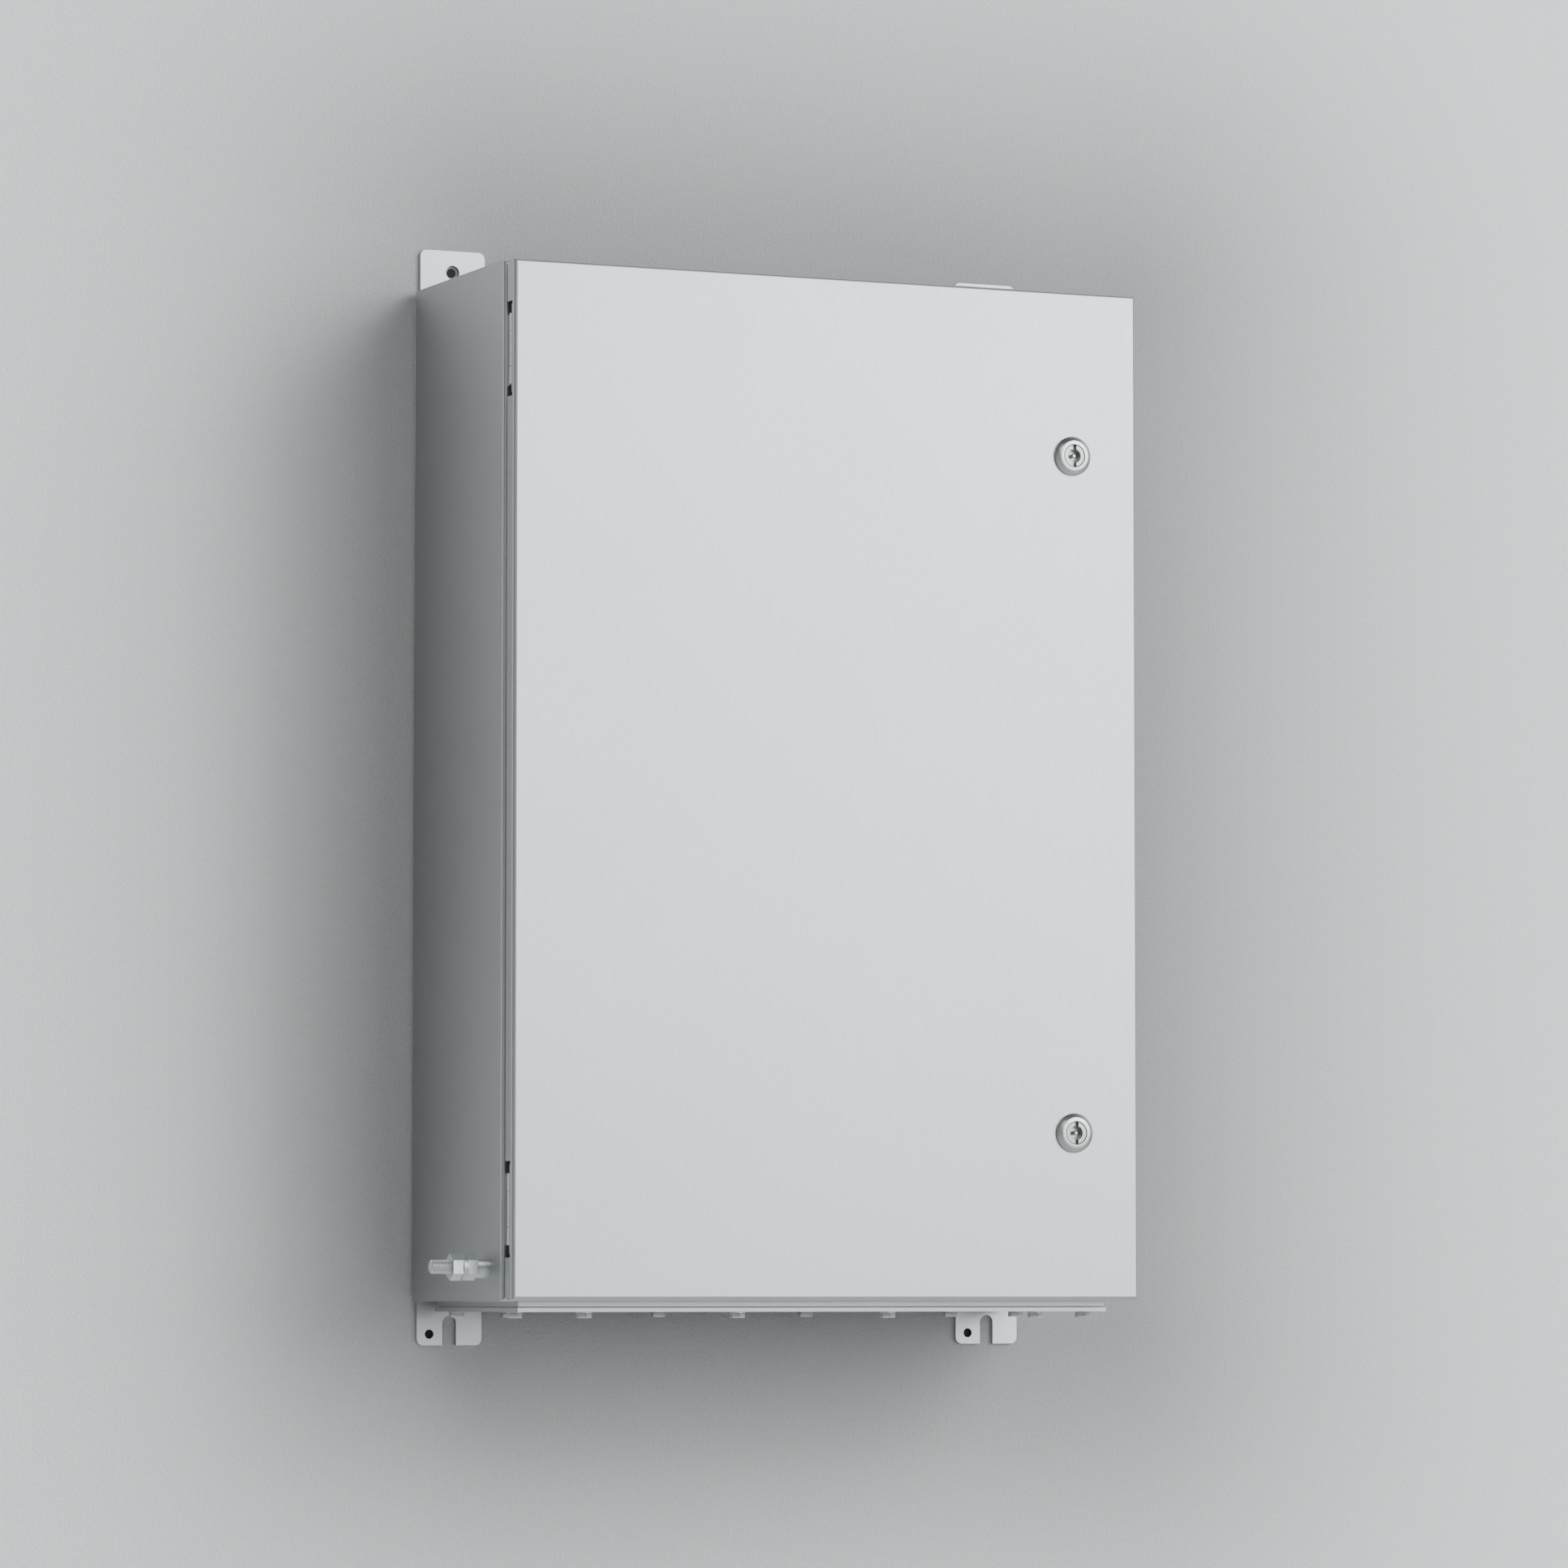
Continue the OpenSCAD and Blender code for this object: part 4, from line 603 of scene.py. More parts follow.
class NodeFinish(Enum):
    """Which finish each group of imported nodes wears."""

    SHEET = (SHEET, "housing_shell door_panel")
    PLATE = (PLATE, "gland_frame gland_plate upper_wall_brackets lower_wall_brackets")
    FASTENER = (
        FASTENER,
        "bracket_screws gland_bolts earth_stud earth_stud_nuts "
        "hinge_body_leaves hinge_pins hinge_door_leaves",
    )
    CASTING = (
        CASTING,
        "lock_housings lock_nuts upper_lock_insert upper_lock_cam "
        "lower_lock_insert lower_lock_cam",
    )
    GASKET = (GASKET, "door_gasket")
    SILICONE = (SILICONE, "gland_gasket")
    GALVANISED = (GALVANISED, "mounting_plate switch_base_plate")
    ZINC = (ZINC, "plate_studs plate_nuts terminal_screws switch_tie_rods")
    RAIL = (RAIL_ZINC, "din_rails")
    BRASS = (BRASS, "body_bond_stud door_bond_stud motor_pinion")
    COPPER = (COPPER, "switch_contacts earth_bar")
    SILVERED = (SILVERED, "rotor_contacts")
    BRAID = (STRAP, "door_bond_strap")
    BLACK = (BLACK_CASE, "switch_decks drive_housing")
    CREAM = (CREAM_CASE, "contact_rotors")
    COVER = (ANODISED, "drive_cover")
    MOTOR = (MOTOR, "drive_motor")
    SHAFT = (SHAFT_STEEL, "changeover_shaft")
    ACETAL = (ACETAL, "main_gear idler_gear")
    HANDLE = (RED_NYLON, "manual_handle")
    NYLON = (BLACK_NYLON, "mode_selector breaker_toggle_1 breaker_toggle_2")
    CONTROLLER = (DARK_CASE, "controller_housing")
    BREAKERS = (PALE_CASE, "breaker_housings")
    WINDOW = (WINDOW, "controller_window")
    KEYS = (KEY_RUBBER, "mode_button test_button reset_button")
    RELAYS = (RELAY, "control_relays")
    TERMINALS = (TERMINAL, "control_terminals power_terminals")
    DUCTS = (DUCT, "wiring_ducts duct_lids")
    LEADS = (LEADS[1], "power_cables")


# ------------------------------------------------------------------ making kit


def deselect_all() -> None:
    """Leaves object mode with nothing selected."""
    if bpy.context.object is not None and bpy.context.object.mode != "OBJECT":
        bpy.ops.object.mode_set(mode="OBJECT")
    bpy.ops.object.select_all(action="DESELECT")


def pick(piece: bpy.types.Object) -> None:
    """Makes the piece the only selected one, and the active one.

    Args:
        piece: the piece.
    """
    deselect_all()
    piece.select_set(True)
    bpy.context.view_layer.objects.active = piece


def dress(piece: bpy.types.Object, finish: Finish) -> None:
    """Gives the piece that finish alone."""
    piece.data.materials.clear()
    piece.data.materials.append(finish.build())


def settle(piece: bpy.types.Object, name: str) -> bpy.types.Object:
    """Names a piece and puts its place into its mesh.

    Args:
        piece: the piece, still with its own place.
        name: its name.

    Returns:
        The piece, at the origin, unturned and unscaled.
    """
    pick(piece)
    bpy.ops.object.transform_apply(location=True, rotation=True, scale=True)
    piece.name = name
    piece.data.name = name
    return piece


def join(pieces: list[bpy.types.Object], name: str) -> bpy.types.Object:
    """Joins pieces into one of that name.

    Args:
        pieces: the pieces, which must share a scene.
        name: its name.

    Returns:
        The joined piece, settled.
    """
    deselect_all()
    for piece in pieces:
        piece.select_set(True)
    bpy.context.view_layer.objects.active = pieces[0]
    if len(pieces) > 1:
        bpy.ops.object.join()
    return settle(bpy.context.view_layer.objects.active, name)


def copy_to(piece: bpy.types.Object, step: Vector) -> bpy.types.Object:
    """A copy of the piece with its own mesh, moved by step.

    Args:
        piece: the piece.
        step: how far the copy lies from it.

    Returns:
        The copy.
    """
    twin = piece.copy()
    twin.data = piece.data.copy()
    bpy.context.scene.collection.objects.link(twin)
    twin.location = piece.location + step
    return twin


def smooth(piece: bpy.types.Object, degrees: float = 35.0) -> None:
    """Shades the piece smooth up to that angle between faces."""
    pick(piece)
    bpy.ops.object.shade_smooth_by_angle(angle=math.radians(degrees))


def place_on(piece: bpy.types.Object, start: Vector, direction: Vector) -> None:
    """Turns the piece's own Z to a direction and moves its origin to start.

    Args:
        piece: the piece.
        start: where its origin goes.
        direction: where its own Z points.
    """
    turn = direction.to_track_quat("Z", "Y")
    piece.matrix_world = Matrix.Translation(start) @ turn.to_matrix().to_4x4()
    bpy.context.view_layer.update()


def turned(
    profile: Profile | list[tuple[float, float]],
    start: Vector,
    direction: Vector,
    sides: int = 48,
    ring: bool = False,
) -> bpy.types.Object:
    """Turns a piece, as on a lathe, by extruding a circle step by step.

    Args:
        profile: distance along the axis and radius at each step.
        start: where distance 0 lies.
        direction: the way the axis points.
        sides: faces around it.
        ring: whether the profile closes on itself, which leaves a hole.

    Returns:
        The piece, placed.
    """
    deselect_all()
    height, radius = profile[0]
    fill = "NOTHING" if ring else "NGON"
    bpy.ops.mesh.primitive_circle_add(
        vertices=sides, radius=radius, fill_type=fill, location=(0, 0, height)
    )
    piece = bpy.context.object
    bpy.ops.object.transform_apply(location=True, rotation=False, scale=False)
    bpy.ops.object.mode_set(mode="EDIT")
    bpy.ops.mesh.select_all(action="SELECT")
    for next_height, next_radius in [*profile[1:], *(profile[:1] if ring else [])]:
        rise = (0.0, 0.0, next_height - height)
        if ring:
            bpy.ops.mesh.extrude_edges_move(TRANSFORM_OT_translate={"value": rise})
        else:
            bpy.ops.mesh.extrude_region_move(TRANSFORM_OT_translate={"value": rise})
        share = next_radius / radius
        bpy.ops.transform.resize(value=(share, share, 1.0), center_override=(0.0, 0.0, next_height))
        height, radius = next_height, next_radius
    bpy.ops.mesh.select_all(action="SELECT")
    bpy.ops.mesh.remove_doubles(threshold=1e-6)
    bpy.ops.mesh.normals_make_consistent(inside=False)
    bpy.ops.object.mode_set(mode="OBJECT")
    place_on(piece, start, direction)
    return piece


# Share of the width across flats that a hexagon's corners are eased by
HEX_EASING = 0.07
HEX_CORNER = math.radians(80)


def hexagon(flats: float, height: float, start: Vector, direction: Vector) -> bpy.types.Object:
    """A nut's or head's body with its outer corners eased.

    Args:
        flats: size across the flats.
        height: its height along the axis.
        start: the middle of its seat.
        direction: the way it stands.

    Returns:
        The piece, placed, with two flats square to its own Y.
    """
    deselect_all()
    bpy.ops.mesh.primitive_cylinder_add(
        vertices=6, radius=flats / math.sqrt(3), depth=height, location=(0, 0, height / 2)
    )
    piece = bpy.context.object
    bpy.ops.object.transform_apply(location=True, rotation=False, scale=False)
    easing = piece.modifiers.new("easing", "BEVEL")
    easing.width = HEX_EASING * flats
    easing.segments = 2
    easing.limit_method = "ANGLE"
    easing.angle_limit = HEX_CORNER
    bpy.ops.object.modifier_apply(modifier=easing.name)
    place_on(piece, start, direction)
    return piece


def cut(piece: bpy.types.Object, tool: bpy.types.Object) -> None:
    """Cuts the tool out of the piece and removes it.

    Args:
        piece: the piece.
        tool: what is cut out.
    """
    pick(piece)
    cutting = piece.modifiers.new("cut", "BOOLEAN")
    cutting.operation = "DIFFERENCE"
    cutting.solver = "EXACT"
    cutting.object = tool
    bpy.ops.object.modifier_apply(modifier=cutting.name)
    bpy.data.objects.remove(tool)


def bar(low: Vector, high: Vector, easing: float = 0.0) -> bpy.types.Object:
    """A bar between two corners, its edges eased.

    Args:
        low: its lowest corner.
        high: its highest corner.
        easing: how much its edges are eased.

    Returns:
        The bar.
    """
    deselect_all()
    bpy.ops.mesh.primitive_cube_add(size=1.0, location=(low + high) / 2)
    piece = bpy.context.object
    piece.scale = high - low
    bpy.ops.object.transform_apply(location=True, rotation=True, scale=True)
    if easing > 0:
        soft = piece.modifiers.new("easing", "BEVEL")
        soft.width = easing
        soft.segments = 2
        bpy.ops.object.modifier_apply(modifier=soft.name)
    return piece


def report(piece: bpy.types.Object, body: str, slot: str, *replaced: str) -> None:
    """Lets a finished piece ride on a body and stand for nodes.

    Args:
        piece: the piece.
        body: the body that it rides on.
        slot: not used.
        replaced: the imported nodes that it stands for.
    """
    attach(piece, body)
    if replaced:
        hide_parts(*replaced)
    log.info("%s: %d faces on %s", piece.name, len(piece.data.polygons), body)


# -------------------------------------------------------------- sub-assemblies


@dataclass
class Viewpoint:
    """The camera, low and to the left of the enclosure, looking slightly up."""

    place: Vector = field(default_factory=lambda: Vector((-2.1360, -4.9970, -0.7701)))
    rise: float = math.radians(94.081)
    heading: float = math.radians(-23.656)
    lens: float = 162.81
    sensor: float = 36.0

    def build(self) -> None:
        """Makes the camera and lets the scene use it."""
        deselect_all()
        bpy.ops.object.camera_add(location=self.place, rotation=(self.rise, 0.0, self.heading))
        camera = bpy.context.object
        camera.data.lens = self.lens
        camera.data.sensor_width = self.sensor
        camera.data.clip_end = 60.0
        bpy.context.scene.camera = camera


@dataclass(frozen=True)
class SoftBox:
    """One large soft lamp."""

    name: str
    middle: tuple[float, float, float]
    size: tuple[float, float]
    power: float
    colour: Colour = (1.0, 1.0, 1.0)

    def build(self, aim: Vector) -> None:
        """Hangs the lamp in its place, facing the aim.

        Args:
            aim: the point that it faces.
        """
        deselect_all()
        bpy.ops.object.light_add(type="AREA", location=self.middle)
        lamp = bpy.context.object
        lamp.name = self.name
        lamp.data.shape = "RECTANGLE"
        lamp.data.size, lamp.data.size_y = self.size
        lamp.data.energy = self.power
        lamp.data.color = self.colour
        lamp.rotation_mode = "QUATERNION"
        lamp.rotation_quaternion = (aim - Vector(self.middle)).to_track_quat("-Z", "Y")


@dataclass
class Studio:
    """The pale wall behind the enclosure, the floor below it, and soft lights."""

    wall_half: float = 7.0
    floor_z: float = -1.9
    gap: float = 0.2 * MM
    # The wall's finish paints a shadow on the wall around the enclosure
    wall: OneSided = OneSided(
        "studio_wall", (0.960, 0.940, 0.928), roughness=0.9, mottle=0.10, depth=0.0010
    )
    floor: OneSided = OneSided(
        "studio_floor", (0.60, 0.605, 0.61), roughness=0.8, mottle=0.05, depth=0.0002
    )
    # Black discs on the wall behind the bracket holes are painted shade in the holes; bore_r and
    # pilot_r are their radii
    hole_shade: Finish = Finish("painted_hole_shade", (0.02, 0.02, 0.02), roughness=0.9, mottle=0.3)
    bore_r: float = 3.6 * MM
    pilot_r: float = 4.1 * MM
    upper_holes: tuple[tuple[float, float], ...] = ((-0.223, 0.0), (0.223, 0.0))
    pilot_holes: tuple[tuple[float, float], ...] = ((-0.239, -0.8032), (0.207, -0.8032))
    aim: Vector = field(default_factory=lambda: Vector((0.0, -0.1, -0.4)))
    ambient: float = 0.002
    lamps: tuple[SoftBox, ...] = (
        SoftBox("key_box", (3.4, -3.8, 1.0), (3.6, 3.6), 151.0, (0.925, 0.975, 1.0)),
        SoftBox("front_box", (2.0, -5.2, 0.6), (3.6, 3.6), 151.0, (0.935, 0.98, 1.0)),
        SoftBox("upper_left_box", (-1.8, -4.4, 2.6), (3.0, 2.4), 74.0, (0.93, 0.975, 1.0)),
        SoftBox("upper_right_box", (2.6, -4.4, 2.8), (3.0, 2.4), 72.0, (0.93, 0.975, 1.0)),
        SoftBox("left_box", (-3.0, -2.4, -0.4), (2.5, 3.0), 10.0, (1.0, 0.965, 0.93)),
        SoftBox("rear_box", (0.0, 2.4, 0.4), (0.6, 0.6), 25.0),
    )

    def build(self) -> None:
        """Builds the room and its lights."""
        wall_y = CAD_BOUNDS[1][1] + self.gap
        self._sheet("studio_wall", Vector((0, wall_y, 1.5)), (math.pi / 2, 0, 0), self.wall)
        self._sheet("studio_floor", Vector((0, -1.0, self.floor_z)), (0, 0, 0), self.floor)
        self._hole_shades(wall_y - self.gap / 2)
        self._world()
        for lamp in self.lamps:
            lamp.build(self.aim)

    def _sheet(self, name: str, middle: Vector, turn: Colour, finish: OneSided) -> None:
        """Adds one flat sheet of the room that casts no shadow.

        Args:
            name: its name.
            middle: its middle.
            turn: its rotation.
            finish: its finish.
        """
        deselect_all()
        bpy.ops.mesh.primitive_plane_add(size=2 * self.wall_half, location=middle, rotation=turn)
        sheet = settle(bpy.context.object, name)
        dress(sheet, finish)
        sheet.visible_shadow = False

    def _hole_shades(self, depth: float) -> None:
        """Adds black discs on the wall behind the bracket holes, as painted shade in the holes.

        Args:
            depth: where they lie along Y.
        """
        spots = [(place, self.bore_r) for place in self.upper_holes]
        spots += [(place, self.pilot_r) for place in self.pilot_holes]
        for number, ((x, z), radius) in enumerate(spots, 1):
            deselect_all()
            bpy.ops.mesh.primitive_circle_add(
                vertices=40,
                radius=radius,
                fill_type="NGON",
                location=(x, depth, z),
                rotation=(math.pi / 2, 0, 0),
            )
            mouth = settle(bpy.context.object, f"wall_bore_{number}")
            dress(mouth, self.hole_shade)

    def _world(self) -> None:
        """An even pale surround."""
        world = bpy.data.worlds.new("studio")
        bpy.context.scene.world = world
        world.use_nodes = True
        background = world.node_tree.nodes["Background"]
        background.inputs["Color"].default_value = (0.80, 0.82, 0.85, 1.0)
        background.inputs["Strength"].default_value = self.ambient


@dataclass
class PackedNodes:
    """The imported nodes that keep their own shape."""

    lamp_colours: tuple[Colour, ...] = (
        (0.02, 0.65, 0.10),
        (0.02, 0.65, 0.10),
        (0.85, 0.35, 0.02),
        (0.02, 0.65, 0.10),
        (0.75, 0.04, 0.02),
    )

    def build(self) -> None:
        """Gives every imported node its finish."""
        for choice in NodeFinish:
            finish, names = choice.value
            for name in names.split():
                dress(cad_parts[name], finish)
        low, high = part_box("controller_lamps")
        lamps = LampRow(
            "lamp_lenses",
            (0.1, 0.6, 0.2),
            roughness=0.2,
            coat=1.0,
            glow_strength=0.25,
            start=low.x,
            end=high.x,
            colours=self.lamp_colours,
        )
        dress(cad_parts["controller_lamps"], lamps)
        log.info("%d packed nodes dressed", len(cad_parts))


@dataclass
class EarthStud:
    """The outer earth stud: welded boss and threaded stud; its two nuts and washers are the
    imported ones.
    """

    pitch: float = 1.5 * MM
    thread_depth: float = 0.75 * MM
    thread_r: float = 5.0 * MM
    crest_from: float = 0.42
    crest_to: float = 0.58
    tip_set: float = 0.3 * MM
    tip_l: float = 0.6 * MM
    run_out: float = 1.0 * MM
    boss_r: float = 8.0 * MM
    boss_l: float = 10.0 * MM
    boss_easing: float = 0.6 * MM
    boss_face: float = 0.01 * MM
    smooth_to: float = 50.0

    def build(self) -> None:
        """Builds the stud with its thread and puts it in place."""
        low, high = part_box("earth_stud")
        middle = (low + high) / 2
        tip = Vector((low.x, middle.y, middle.z))
        whole = high.x - low.x
        root = self.thread_r - self.thread_depth
        profile = [(0.0, root - self.tip_set), (self.tip_l, root)]
        for turn in range(int((whole - self.boss_l - self.run_out) / self.pitch)):
            base = self.tip_l + turn * self.pitch
            profile += [
                (base + self.crest_from * self.pitch, self.thread_r),
                (base + self.crest_to * self.pitch, self.thread_r),
                (base + self.pitch, root),
            ]
        boss = whole - self.boss_l
        profile += [(boss, root), (boss + self.boss_face, self.boss_r - self.boss_easing)]
        profile += [(boss + self.boss_easing, self.boss_r), (whole, self.boss_r)]
        stud = turned(profile, tip, Vector((1, 0, 0)))
        stud = settle(stud, "threaded_earth_stud")
        smooth(stud, self.smooth_to)
        dress(stud, FASTENER)
        report(stud, "enclosure", "stainless_fastener", "earth_stud")


@dataclass
class GlandBolts:
    """Twelve hexagon bolts with washers around the gland plate."""

    flats: float = 10.0 * MM
    head_h: float = 3.6 * MM
    washer_r: float = 6.0 * MM
    washer_h: float = 1.0 * MM
    shank_r: float = 3.0 * MM
    shank_tip_r: float = 2.6 * MM
    shank_tip_l: float = 0.4 * MM
    rim: float = 0.25 * MM
    rim_set: float = 0.2 * MM
    dish_depth: float = 0.6 * MM
    dish: Profile = in_mm((0.0, 3.1), (0.6, 3.4), (1.0, 3.5))
    edge: float = 8.0 * MM
    pitch_x: float = 122.0 * MM
    pitch_y: float = 118.0 * MM
    columns: tuple[float, ...] = (-1.5, -0.5, 0.5, 1.5)
    smooth_to: float = 40.0

    def build(self) -> None:
        """Builds one bolt and copies it to every place."""
        low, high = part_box("gland_plate")
        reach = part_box("gland_bolts")[1].z
        seat = Vector((0.0, (low.y + high.y) / 2, low.z))
        down = Vector((0, 0, -1))
        washer = turned(
            [
                (0.0, self.shank_r),
                (0.0, self.washer_r - self.rim_set),
                (self.rim, self.washer_r),
                (self.washer_h - self.rim, self.washer_r),
                (self.washer_h, self.washer_r - self.rim),
                (self.washer_h, self.shank_r),
            ],
            seat,
            down,
            sides=32,
            ring=True,
        )
        head_seat = seat + down * self.washer_h
        head = hexagon(self.flats, self.head_h, head_seat, down)
        floor = head_seat + down * (self.head_h - self.dish_depth)
        dish = turned(self.dish, floor, down, sides=24)
        cut(head, dish)
        shank_l = reach - seat.z
        shank_steps = [
            (0.0, self.shank_r),
            (shank_l - self.shank_tip_l, self.shank_r),
            (shank_l, self.shank_tip_r),
        ]
        shank = turned(shank_steps, seat, -down, sides=20)
        bolt = join([head, washer, shank], "gland_bolt")
        smooth(bolt, self.smooth_to)
        half_x = (high.x - low.x) / 2 - self.edge
        half_y = (high.y - low.y) / 2 - self.edge
        spots = [(i * self.pitch_x, s * half_y) for i in self.columns for s in (-1, 1)]
        spots += [(s * half_x, t * self.pitch_y / 2) for s in (-1, 1) for t in (-1, 1)]
        bolts = [copy_to(bolt, Vector((x, y, 0.0))) for x, y in spots]
        bpy.data.objects.remove(bolt)
        joined = join(bolts, "gland_hex_bolts")
        dress(joined, FASTENER)
        report(joined, "enclosure", "stainless_fastener", "gland_bolts")


@dataclass
class Lock:
    """One quarter-turn lock: conical bezel and an insert for a double-bit key."""

    name: str
    body: str
    insert_node: str
    insert_r: float = 8.5 * MM
    recess_r: float = 5.0 * MM
    slot_half: float = 1.7 * MM
    slot_depth: float = 3.0 * MM
    slot_over: float = 1.0 * MM
    fit_gap: float = 0.08 * MM
    pin: Profile = in_mm((6.0, 1.5), (0.9, 1.5), (0.5, 1.1))
    tail: Profile = in_mm((0.0, 5.0), (-0.5, 6.6), (-3.0, 7.0), (-3.0, 5.4))
    stem: Profile = in_mm((14.0, 5.4), (13.5, 6.0), (7.9, 6.0))
    head_l: float = 7.9 * MM
    head_easing: float = 0.5 * MM
    mouth_easing: float = 0.3 * MM
    recess_l: float = 5.7 * MM
    crown: Profile = in_mm((0.0, 11.4), (0.25, 11.9))
    foot: Profile = in_mm((-2.1, 14.5), (-1.7, 14.8), (0.0, 14.8), (0.0, 11.0))
    sleeve_r: float = 11.0 * MM
    bore_r: float = 6.1 * MM
    step_l: float = 3.5 * MM
    rim_set: float = 0.35 * MM
    rim_l: float = 0.4 * MM

    def build(self) -> bpy.types.Object:
        """Builds the insert and the bezel.

        Returns:
            The bezel, which is joined with the other lock's.
        """
        low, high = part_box(self.insert_node)
        centre = Vector(((low.x + high.x) / 2, low.y, (low.z + high.z) / 2))
        self._insert(centre, high.y - low.y)
        return self._bezel(centre)

    def _insert(self, front: Vector, length: float) -> None:
        """Turns the insert, cuts its key slots and adds the centre pin.

        Args:
            front: the middle of the insert's front face.
            length: how long the insert is.
        """
        back = Vector((0, 1, 0))
        core = turned(
            [
                *((length + along, radius) for along, radius in self.tail),
                *self.stem,
                (self.head_l, self.insert_r),
                (self.head_easing, self.insert_r),
                (0.0, self.insert_r - self.head_easing),
                (0.0, self.recess_r + self.mouth_easing),
                (self.mouth_easing, self.recess_r),
                (self.recess_l, self.recess_r),
            ],
            front,
            back,
        )
        reach = Vector((self.slot_half, self.slot_depth, self.insert_r + self.slot_over))
        tool = bar(front - reach, front + reach)
        cut(core, tool)
        pin = turned(self.pin, front, back, sides=24)
        insert = join([core, pin], self.name + "_key_insert")
        smooth(insert)
        dress(insert, INSERT)
        report(insert, self.body, "cast_lock_metal", self.insert_node)

    def _bezel(self, front: Vector) -> bpy.types.Object:
        """Turns the bezel and its sleeve, with softened rims.

        Args:
            front: the middle of the insert's front face.

        Returns:
            The bezel, placed.
        """
        hole = self.insert_r + self.fit_gap
        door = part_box("door_panel")[0].y
        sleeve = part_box("lock_housings")[1].y
        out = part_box("lock_housings")[0].y - door
        return turned(
            [
                (out, hole + self.rim_set),
                *((out + along, radius) for along, radius in self.crown),
                *self.foot,
                (sleeve - door, self.sleeve_r),
                (sleeve - door, self.bore_r),
                (self.step_l, self.bore_r),
                (self.step_l, hole),
                (out + self.rim_l, hole),
            ],
            Vector((front.x, door, front.z)),
            Vector((0, 1, 0)),
            sides=72,
            ring=True,
        )


@dataclass
class DoorLocks:
    """Both locks of the door."""

    def build(self) -> None:
        """Builds the two locks and joins their bezels."""
        locks = [
            Lock("upper_lock", "upper_lock", "upper_lock_insert"),
            Lock("lower_lock", "lower_lock", "lower_lock_insert"),
        ]
        bezels = join([lock.build() for lock in locks], "lock_bezels")
        smooth(bezels, 30)
        dress(bezels, CASTING)
        report(bezels, "door", "cast_lock_metal", "lock_housings")


@dataclass
class BondStrap:
    """The flat braid that bonds the door to the body, looped across the hinge."""

    width: float = 10.0 * MM
    thickness: float = 1.6 * MM
    easing: float = 0.5 * MM
    steps: int = 40
    body_gap: float = 0.6 * MM
    door_gap: float = 1.2 * MM
    rise: Vector = field(default_factory=lambda: Vector((1.0, 40.0, 0.0)) * MM)
    bulge: Vector = field(default_factory=lambda: Vector((6.0, 2.0, 0.0)) * MM)
    reach: float = 14.0 * MM
    hold: int = 2
    smooth_to: float = 40.0

    def build(self) -> None:
        """Sweeps the braid along its loop across the hinge."""
        low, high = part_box("door_bond_strap")
        middle = (low.z + high.z) / 2
        start = Vector((low.x + self.body_gap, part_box("body_bond_stud")[0].y, middle))
        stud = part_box("door_bond_stud")
        end = Vector(((stud[0].x + stud[1].x) / 2, low.y + self.door_gap, middle))
        control = [
            start,
            start + self.rise,
            Vector((high.x, high.y, middle)) + self.bulge,
            Vector((high.x + self.reach, end.y, middle)),
            end,
        ]
        path = [self._curve(control, i / self.steps) for i in range(self.steps + 1)]
        strap = self._ribbon(path)
        dress(strap, STRAP)
        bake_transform(strap)
        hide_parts("door_bond_strap")
        faces = len(strap.data.polygons)
        log.info("%s: %d faces, bends between enclosure and door", strap.name, faces)

    @staticmethod
    def _curve(control: list[Vector], share: float) -> Vector:
        """The point at that share of the smooth curve the controls make.

        Args:
            control: the points that pull it.
            share: how far along, from 0 to 1.

        Returns:
            The point.
        """
        points = list(control)
        while len(points) > 1:
            points = [a.lerp(b, share) for a, b in zip(points, points[1:])]
        return points[0]

    def _ribbon(self, path: list[Vector]) -> bpy.types.Object:
        """A flat ribbon along the path, with thickness.

        Args:
            path: the points along its middle.

        Returns:
            The ribbon.
        """
        deselect_all()
        bpy.ops.curve.primitive_nurbs_path_add()
        guide = bpy.context.object
        guide.location = (0, 0, 0)
        guide.data.splines.clear()
        spline = guide.data.splines.new("POLY")
        spline.points.add(len(path) - 1)
        for point, place in zip(spline.points, path):
            point.co = (*place, 1.0)
        guide.data.dimensions = "3D"
        guide.data.twist_mode = "Z_UP"
        guide.data.extrude = self.width / 2
        guide.data.use_path = False
        pick(guide)
        bpy.ops.object.convert(target="MESH")
        strap = settle(bpy.context.object, "bonding_braid")
        wall = strap.modifiers.new("wall", "SOLIDIFY")
        wall.thickness = self.thickness
        wall.offset = 0.0
        pick(strap)
        bpy.ops.object.modifier_apply(modifier=wall.name)
        soft = strap.modifiers.new("soft", "BEVEL")
        soft.width = self.easing
        soft.segments = 2
        bpy.ops.object.modifier_apply(modifier=soft.name)
        smooth(strap, self.smooth_to)
        return strap


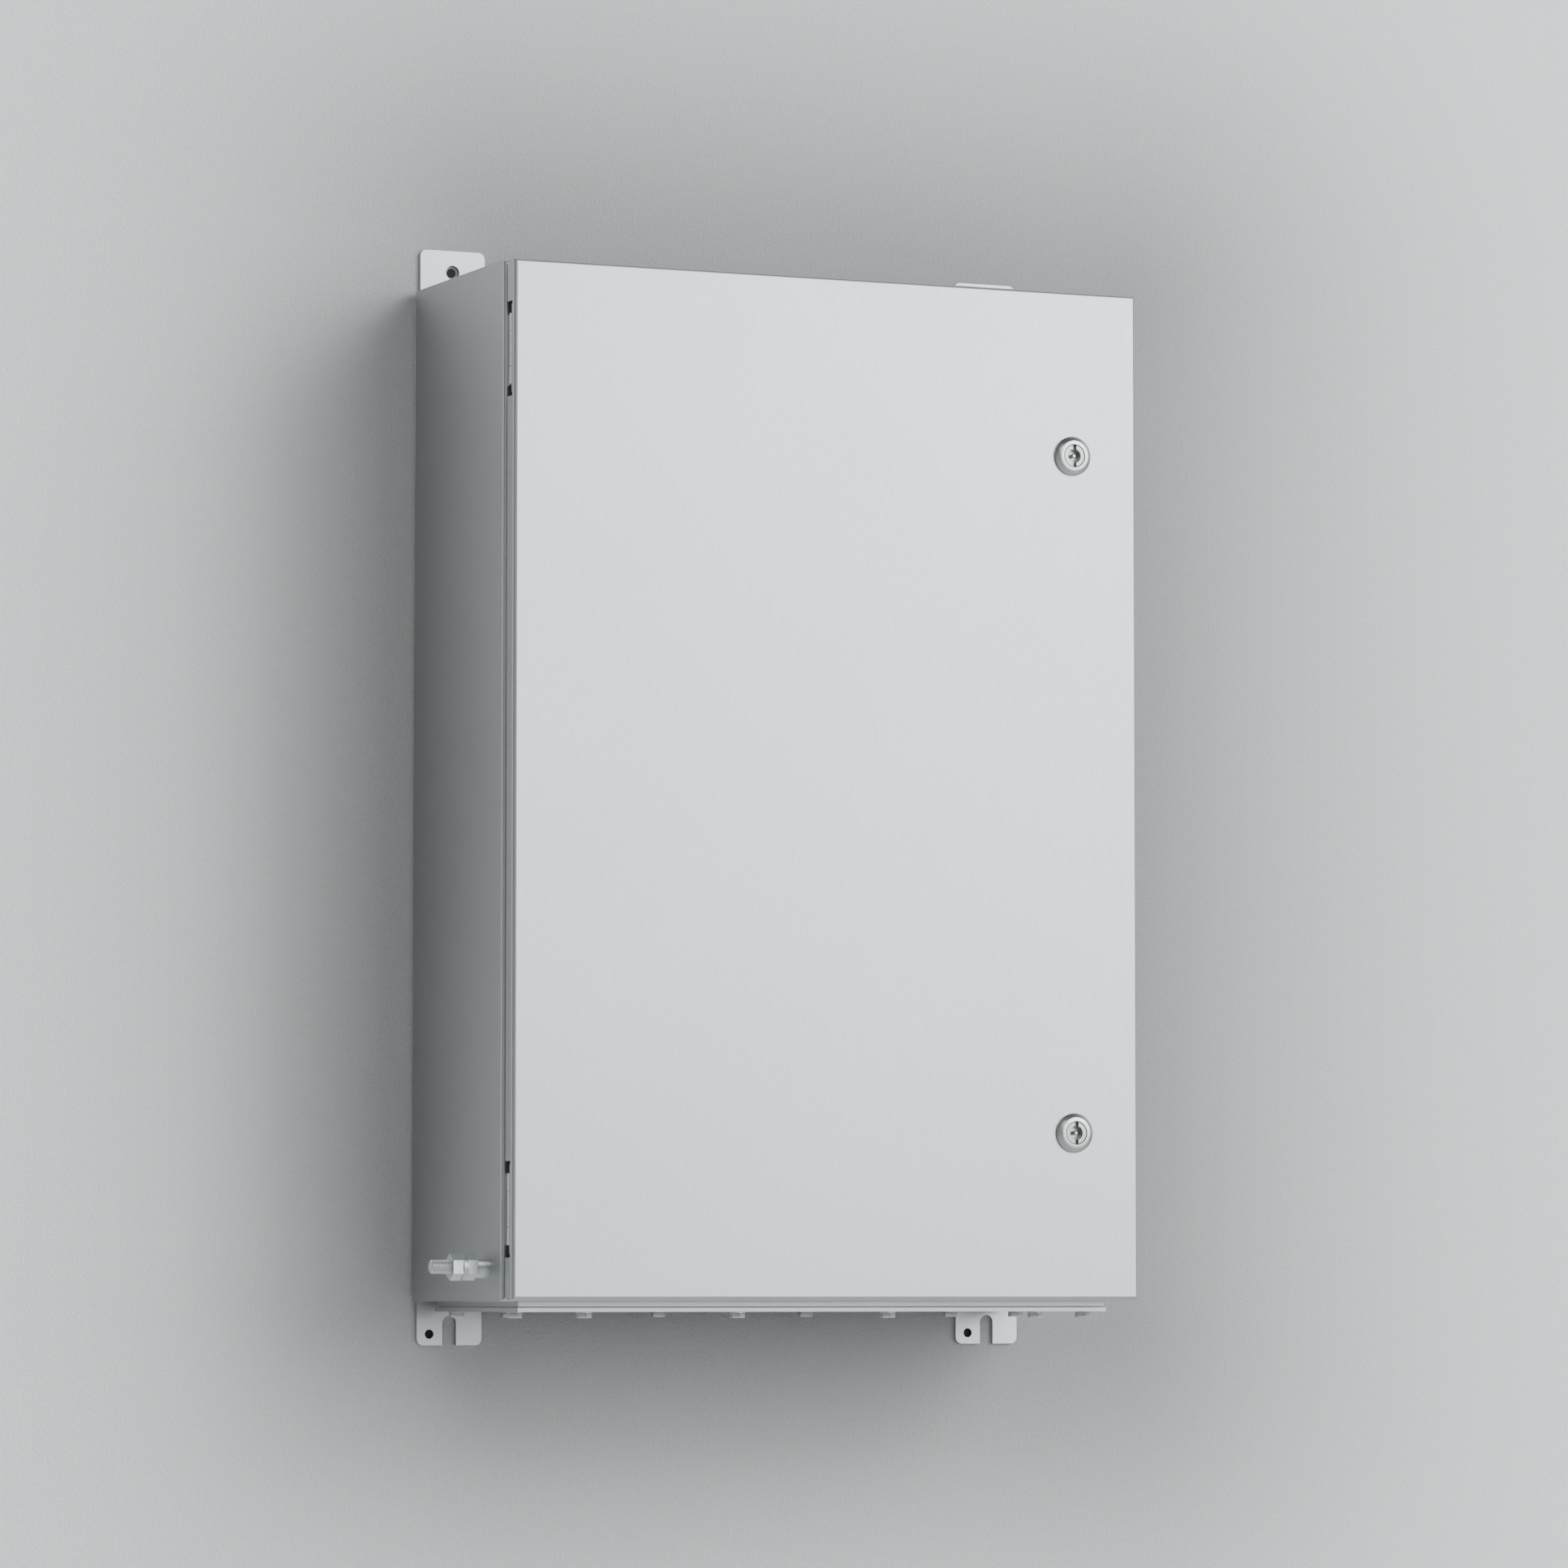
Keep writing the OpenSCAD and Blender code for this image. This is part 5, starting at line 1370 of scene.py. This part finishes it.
@dataclass
class PowerLeads:
    """Twelve insulated leads from the switch down to the power terminals."""

    lead_r: float = 5.0 * MM
    poles: int = 4
    deck_t: float = 22.0 * MM
    bar_first: float = 16.0 * MM
    bar_step: float = 18.0 * MM
    lug_inset: float = 7.0 * MM
    drop: float = 16.0 * MM
    group_pitch: float = 126.0 * MM
    terminal_pitch: float = 22.0 * MM
    entry: float = 11.0 * MM
    straight: float = 3.0 * MM
    pull_share: float = 0.45
    set_out: float = 1.5 * MM
    mouth_set: float = 2.0 * MM
    palm_half: float = 6.0 * MM
    palm_t: float = 2.4 * MM
    palm_gap: float = 0.02 * MM
    palm_top: float = 7.0 * MM
    palm_foot: float = 3.0 * MM
    palm_easing: float = 0.5 * MM
    barrel_top: float = 5.0 * MM
    barrel: Profile = in_mm((0.0, 3.4), (1.2, 5.2), (2.2, 5.5), (13.0, 5.5), (13.6, 5.1))
    smooth_to: float = 60.0

    def build(self) -> None:
        """Runs every lead and joins those of one pole."""
        for pole in range(self.poles):
            leads = [self._lead(side, pole) for side in (-1, 0, 1)]
            joined = join(leads, f"power_leads_pole_{pole + 1}")
            smooth(joined, self.smooth_to)
            dress(joined, LEADS[pole])
            report(joined, "enclosure", "cable_sheath", "power_cables")
        lugs = [self._lug(side, pole) for side in (-1, 0, 1) for pole in range(self.poles)]
        joined = join(lugs, "lead_lugs")
        smooth(joined, 40)
        dress(joined, TINNED)
        report(joined, "enclosure", "zinc_fastener", "power_cables")

    def _lug_place(self, side: int, pole: int) -> Vector:
        """The middle of a lug's hole.

        Args:
            side: -1 for source 1, 0 for the load and 1 for source 2.
            pole: the number of the pole, from 0.

        Returns:
            The place.
        """
        low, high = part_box("switch_decks")
        half = (high.x - low.x) / 2
        depth = high.y - (pole + 0.5) * self.deck_t
        reach = half + self.bar_first + self.bar_step * (self.poles - 1 - pole) - self.lug_inset
        switch_z = (low.z + high.z) / 2
        return Vector((side * reach, depth, switch_z if side else switch_z - reach))

    def _lead(self, side: int, pole: int) -> bpy.types.Object:
        """One lead, as a round tube on a smooth curve.

        Args:
            side: -1 for source 1, 0 for the load and 1 for source 2.
            pole: the number of the pole, from 0.

        Returns:
            The lead, as a mesh.
        """
        lug = self._lug_place(side, pole)
        low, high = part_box("power_terminals")
        order = pole - (self.poles - 1) / 2
        if side > 0:
            order = -order
        end = Vector(
            (
                side * self.group_pitch + order * self.terminal_pitch,
                (low.y + high.y) / 2 - self.mouth_set,
                high.z - self.entry,
            )
        )
        top = Vector((lug.x, lug.y - self.set_out, lug.z - self.drop))
        mouth = Vector((end.x, end.y, high.z + self.straight))
        pull = Vector((0.0, 0.0, self.pull_share * (top.z - mouth.z)))
        deselect_all()
        bpy.ops.curve.primitive_bezier_curve_add()
        lead = bpy.context.object
        bends = lead.data.splines[0].bezier_points
        bends.add(1)
        reach = (mouth.z - end.z) / 3 * Vector((0, 0, 1))
        for bend, spot, above, below in (
            (bends[0], top, pull, pull),
            (bends[1], mouth, pull, reach),
            (bends[2], end, reach, reach),
        ):
            bend.handle_left_type = bend.handle_right_type = "FREE"
            bend.co = spot
            bend.handle_left = spot + above
            bend.handle_right = spot - below
        lead.data.resolution_u = 40
        lead.data.bevel_depth = self.lead_r
        lead.data.bevel_resolution = 4
        lead.data.use_fill_caps = True
        pick(lead)
        bpy.ops.object.convert(target="MESH")
        return bpy.context.object

    def _lug(self, side: int, pole: int) -> bpy.types.Object:
        """A tinned lug: a flat palm and a round barrel over the lead's end.

        Args:
            side: -1 for source 1, 0 for the load and 1 for source 2.
            pole: the number of the pole, from 0.

        Returns:
            The lug.
        """
        hole = self._lug_place(side, pole)
        front = hole.y - self.set_out
        end = hole.z - self.drop
        palm = bar(
            Vector((hole.x - self.palm_half, front - self.palm_t, end + self.palm_foot)),
            Vector((hole.x + self.palm_half, front - self.palm_gap, hole.z + self.palm_top)),
            self.palm_easing,
        )
        top = Vector((hole.x, front, end + self.barrel_top))
        barrel = turned(self.barrel, top, Vector((0, 0, -1)), sides=28)
        return join([palm, barrel], "lug")


class Part(Protocol):
    """Anything that the assembly builds."""

    def build(self) -> None:
        """Builds it."""


@dataclass
class Assembly:
    """The whole object, built in order."""

    parts: tuple[Part, ...] = (
        Viewpoint(),
        Studio(),
        PackedNodes(),
        EarthStud(),
        GlandBolts(),
        DoorLocks(),
        BondStrap(),
        PowerLeads(),
    )

    def build(self) -> None:
        """Builds each part and says so."""
        for part in self.parts:
            log.info("building %s", type(part).__name__)
            part.build()


def main() -> None:
    """Builds the scene."""
    logging.basicConfig(level=logging.INFO, format="%(message)s")
    Assembly().build()


if __name__ == "__main__":
    main()
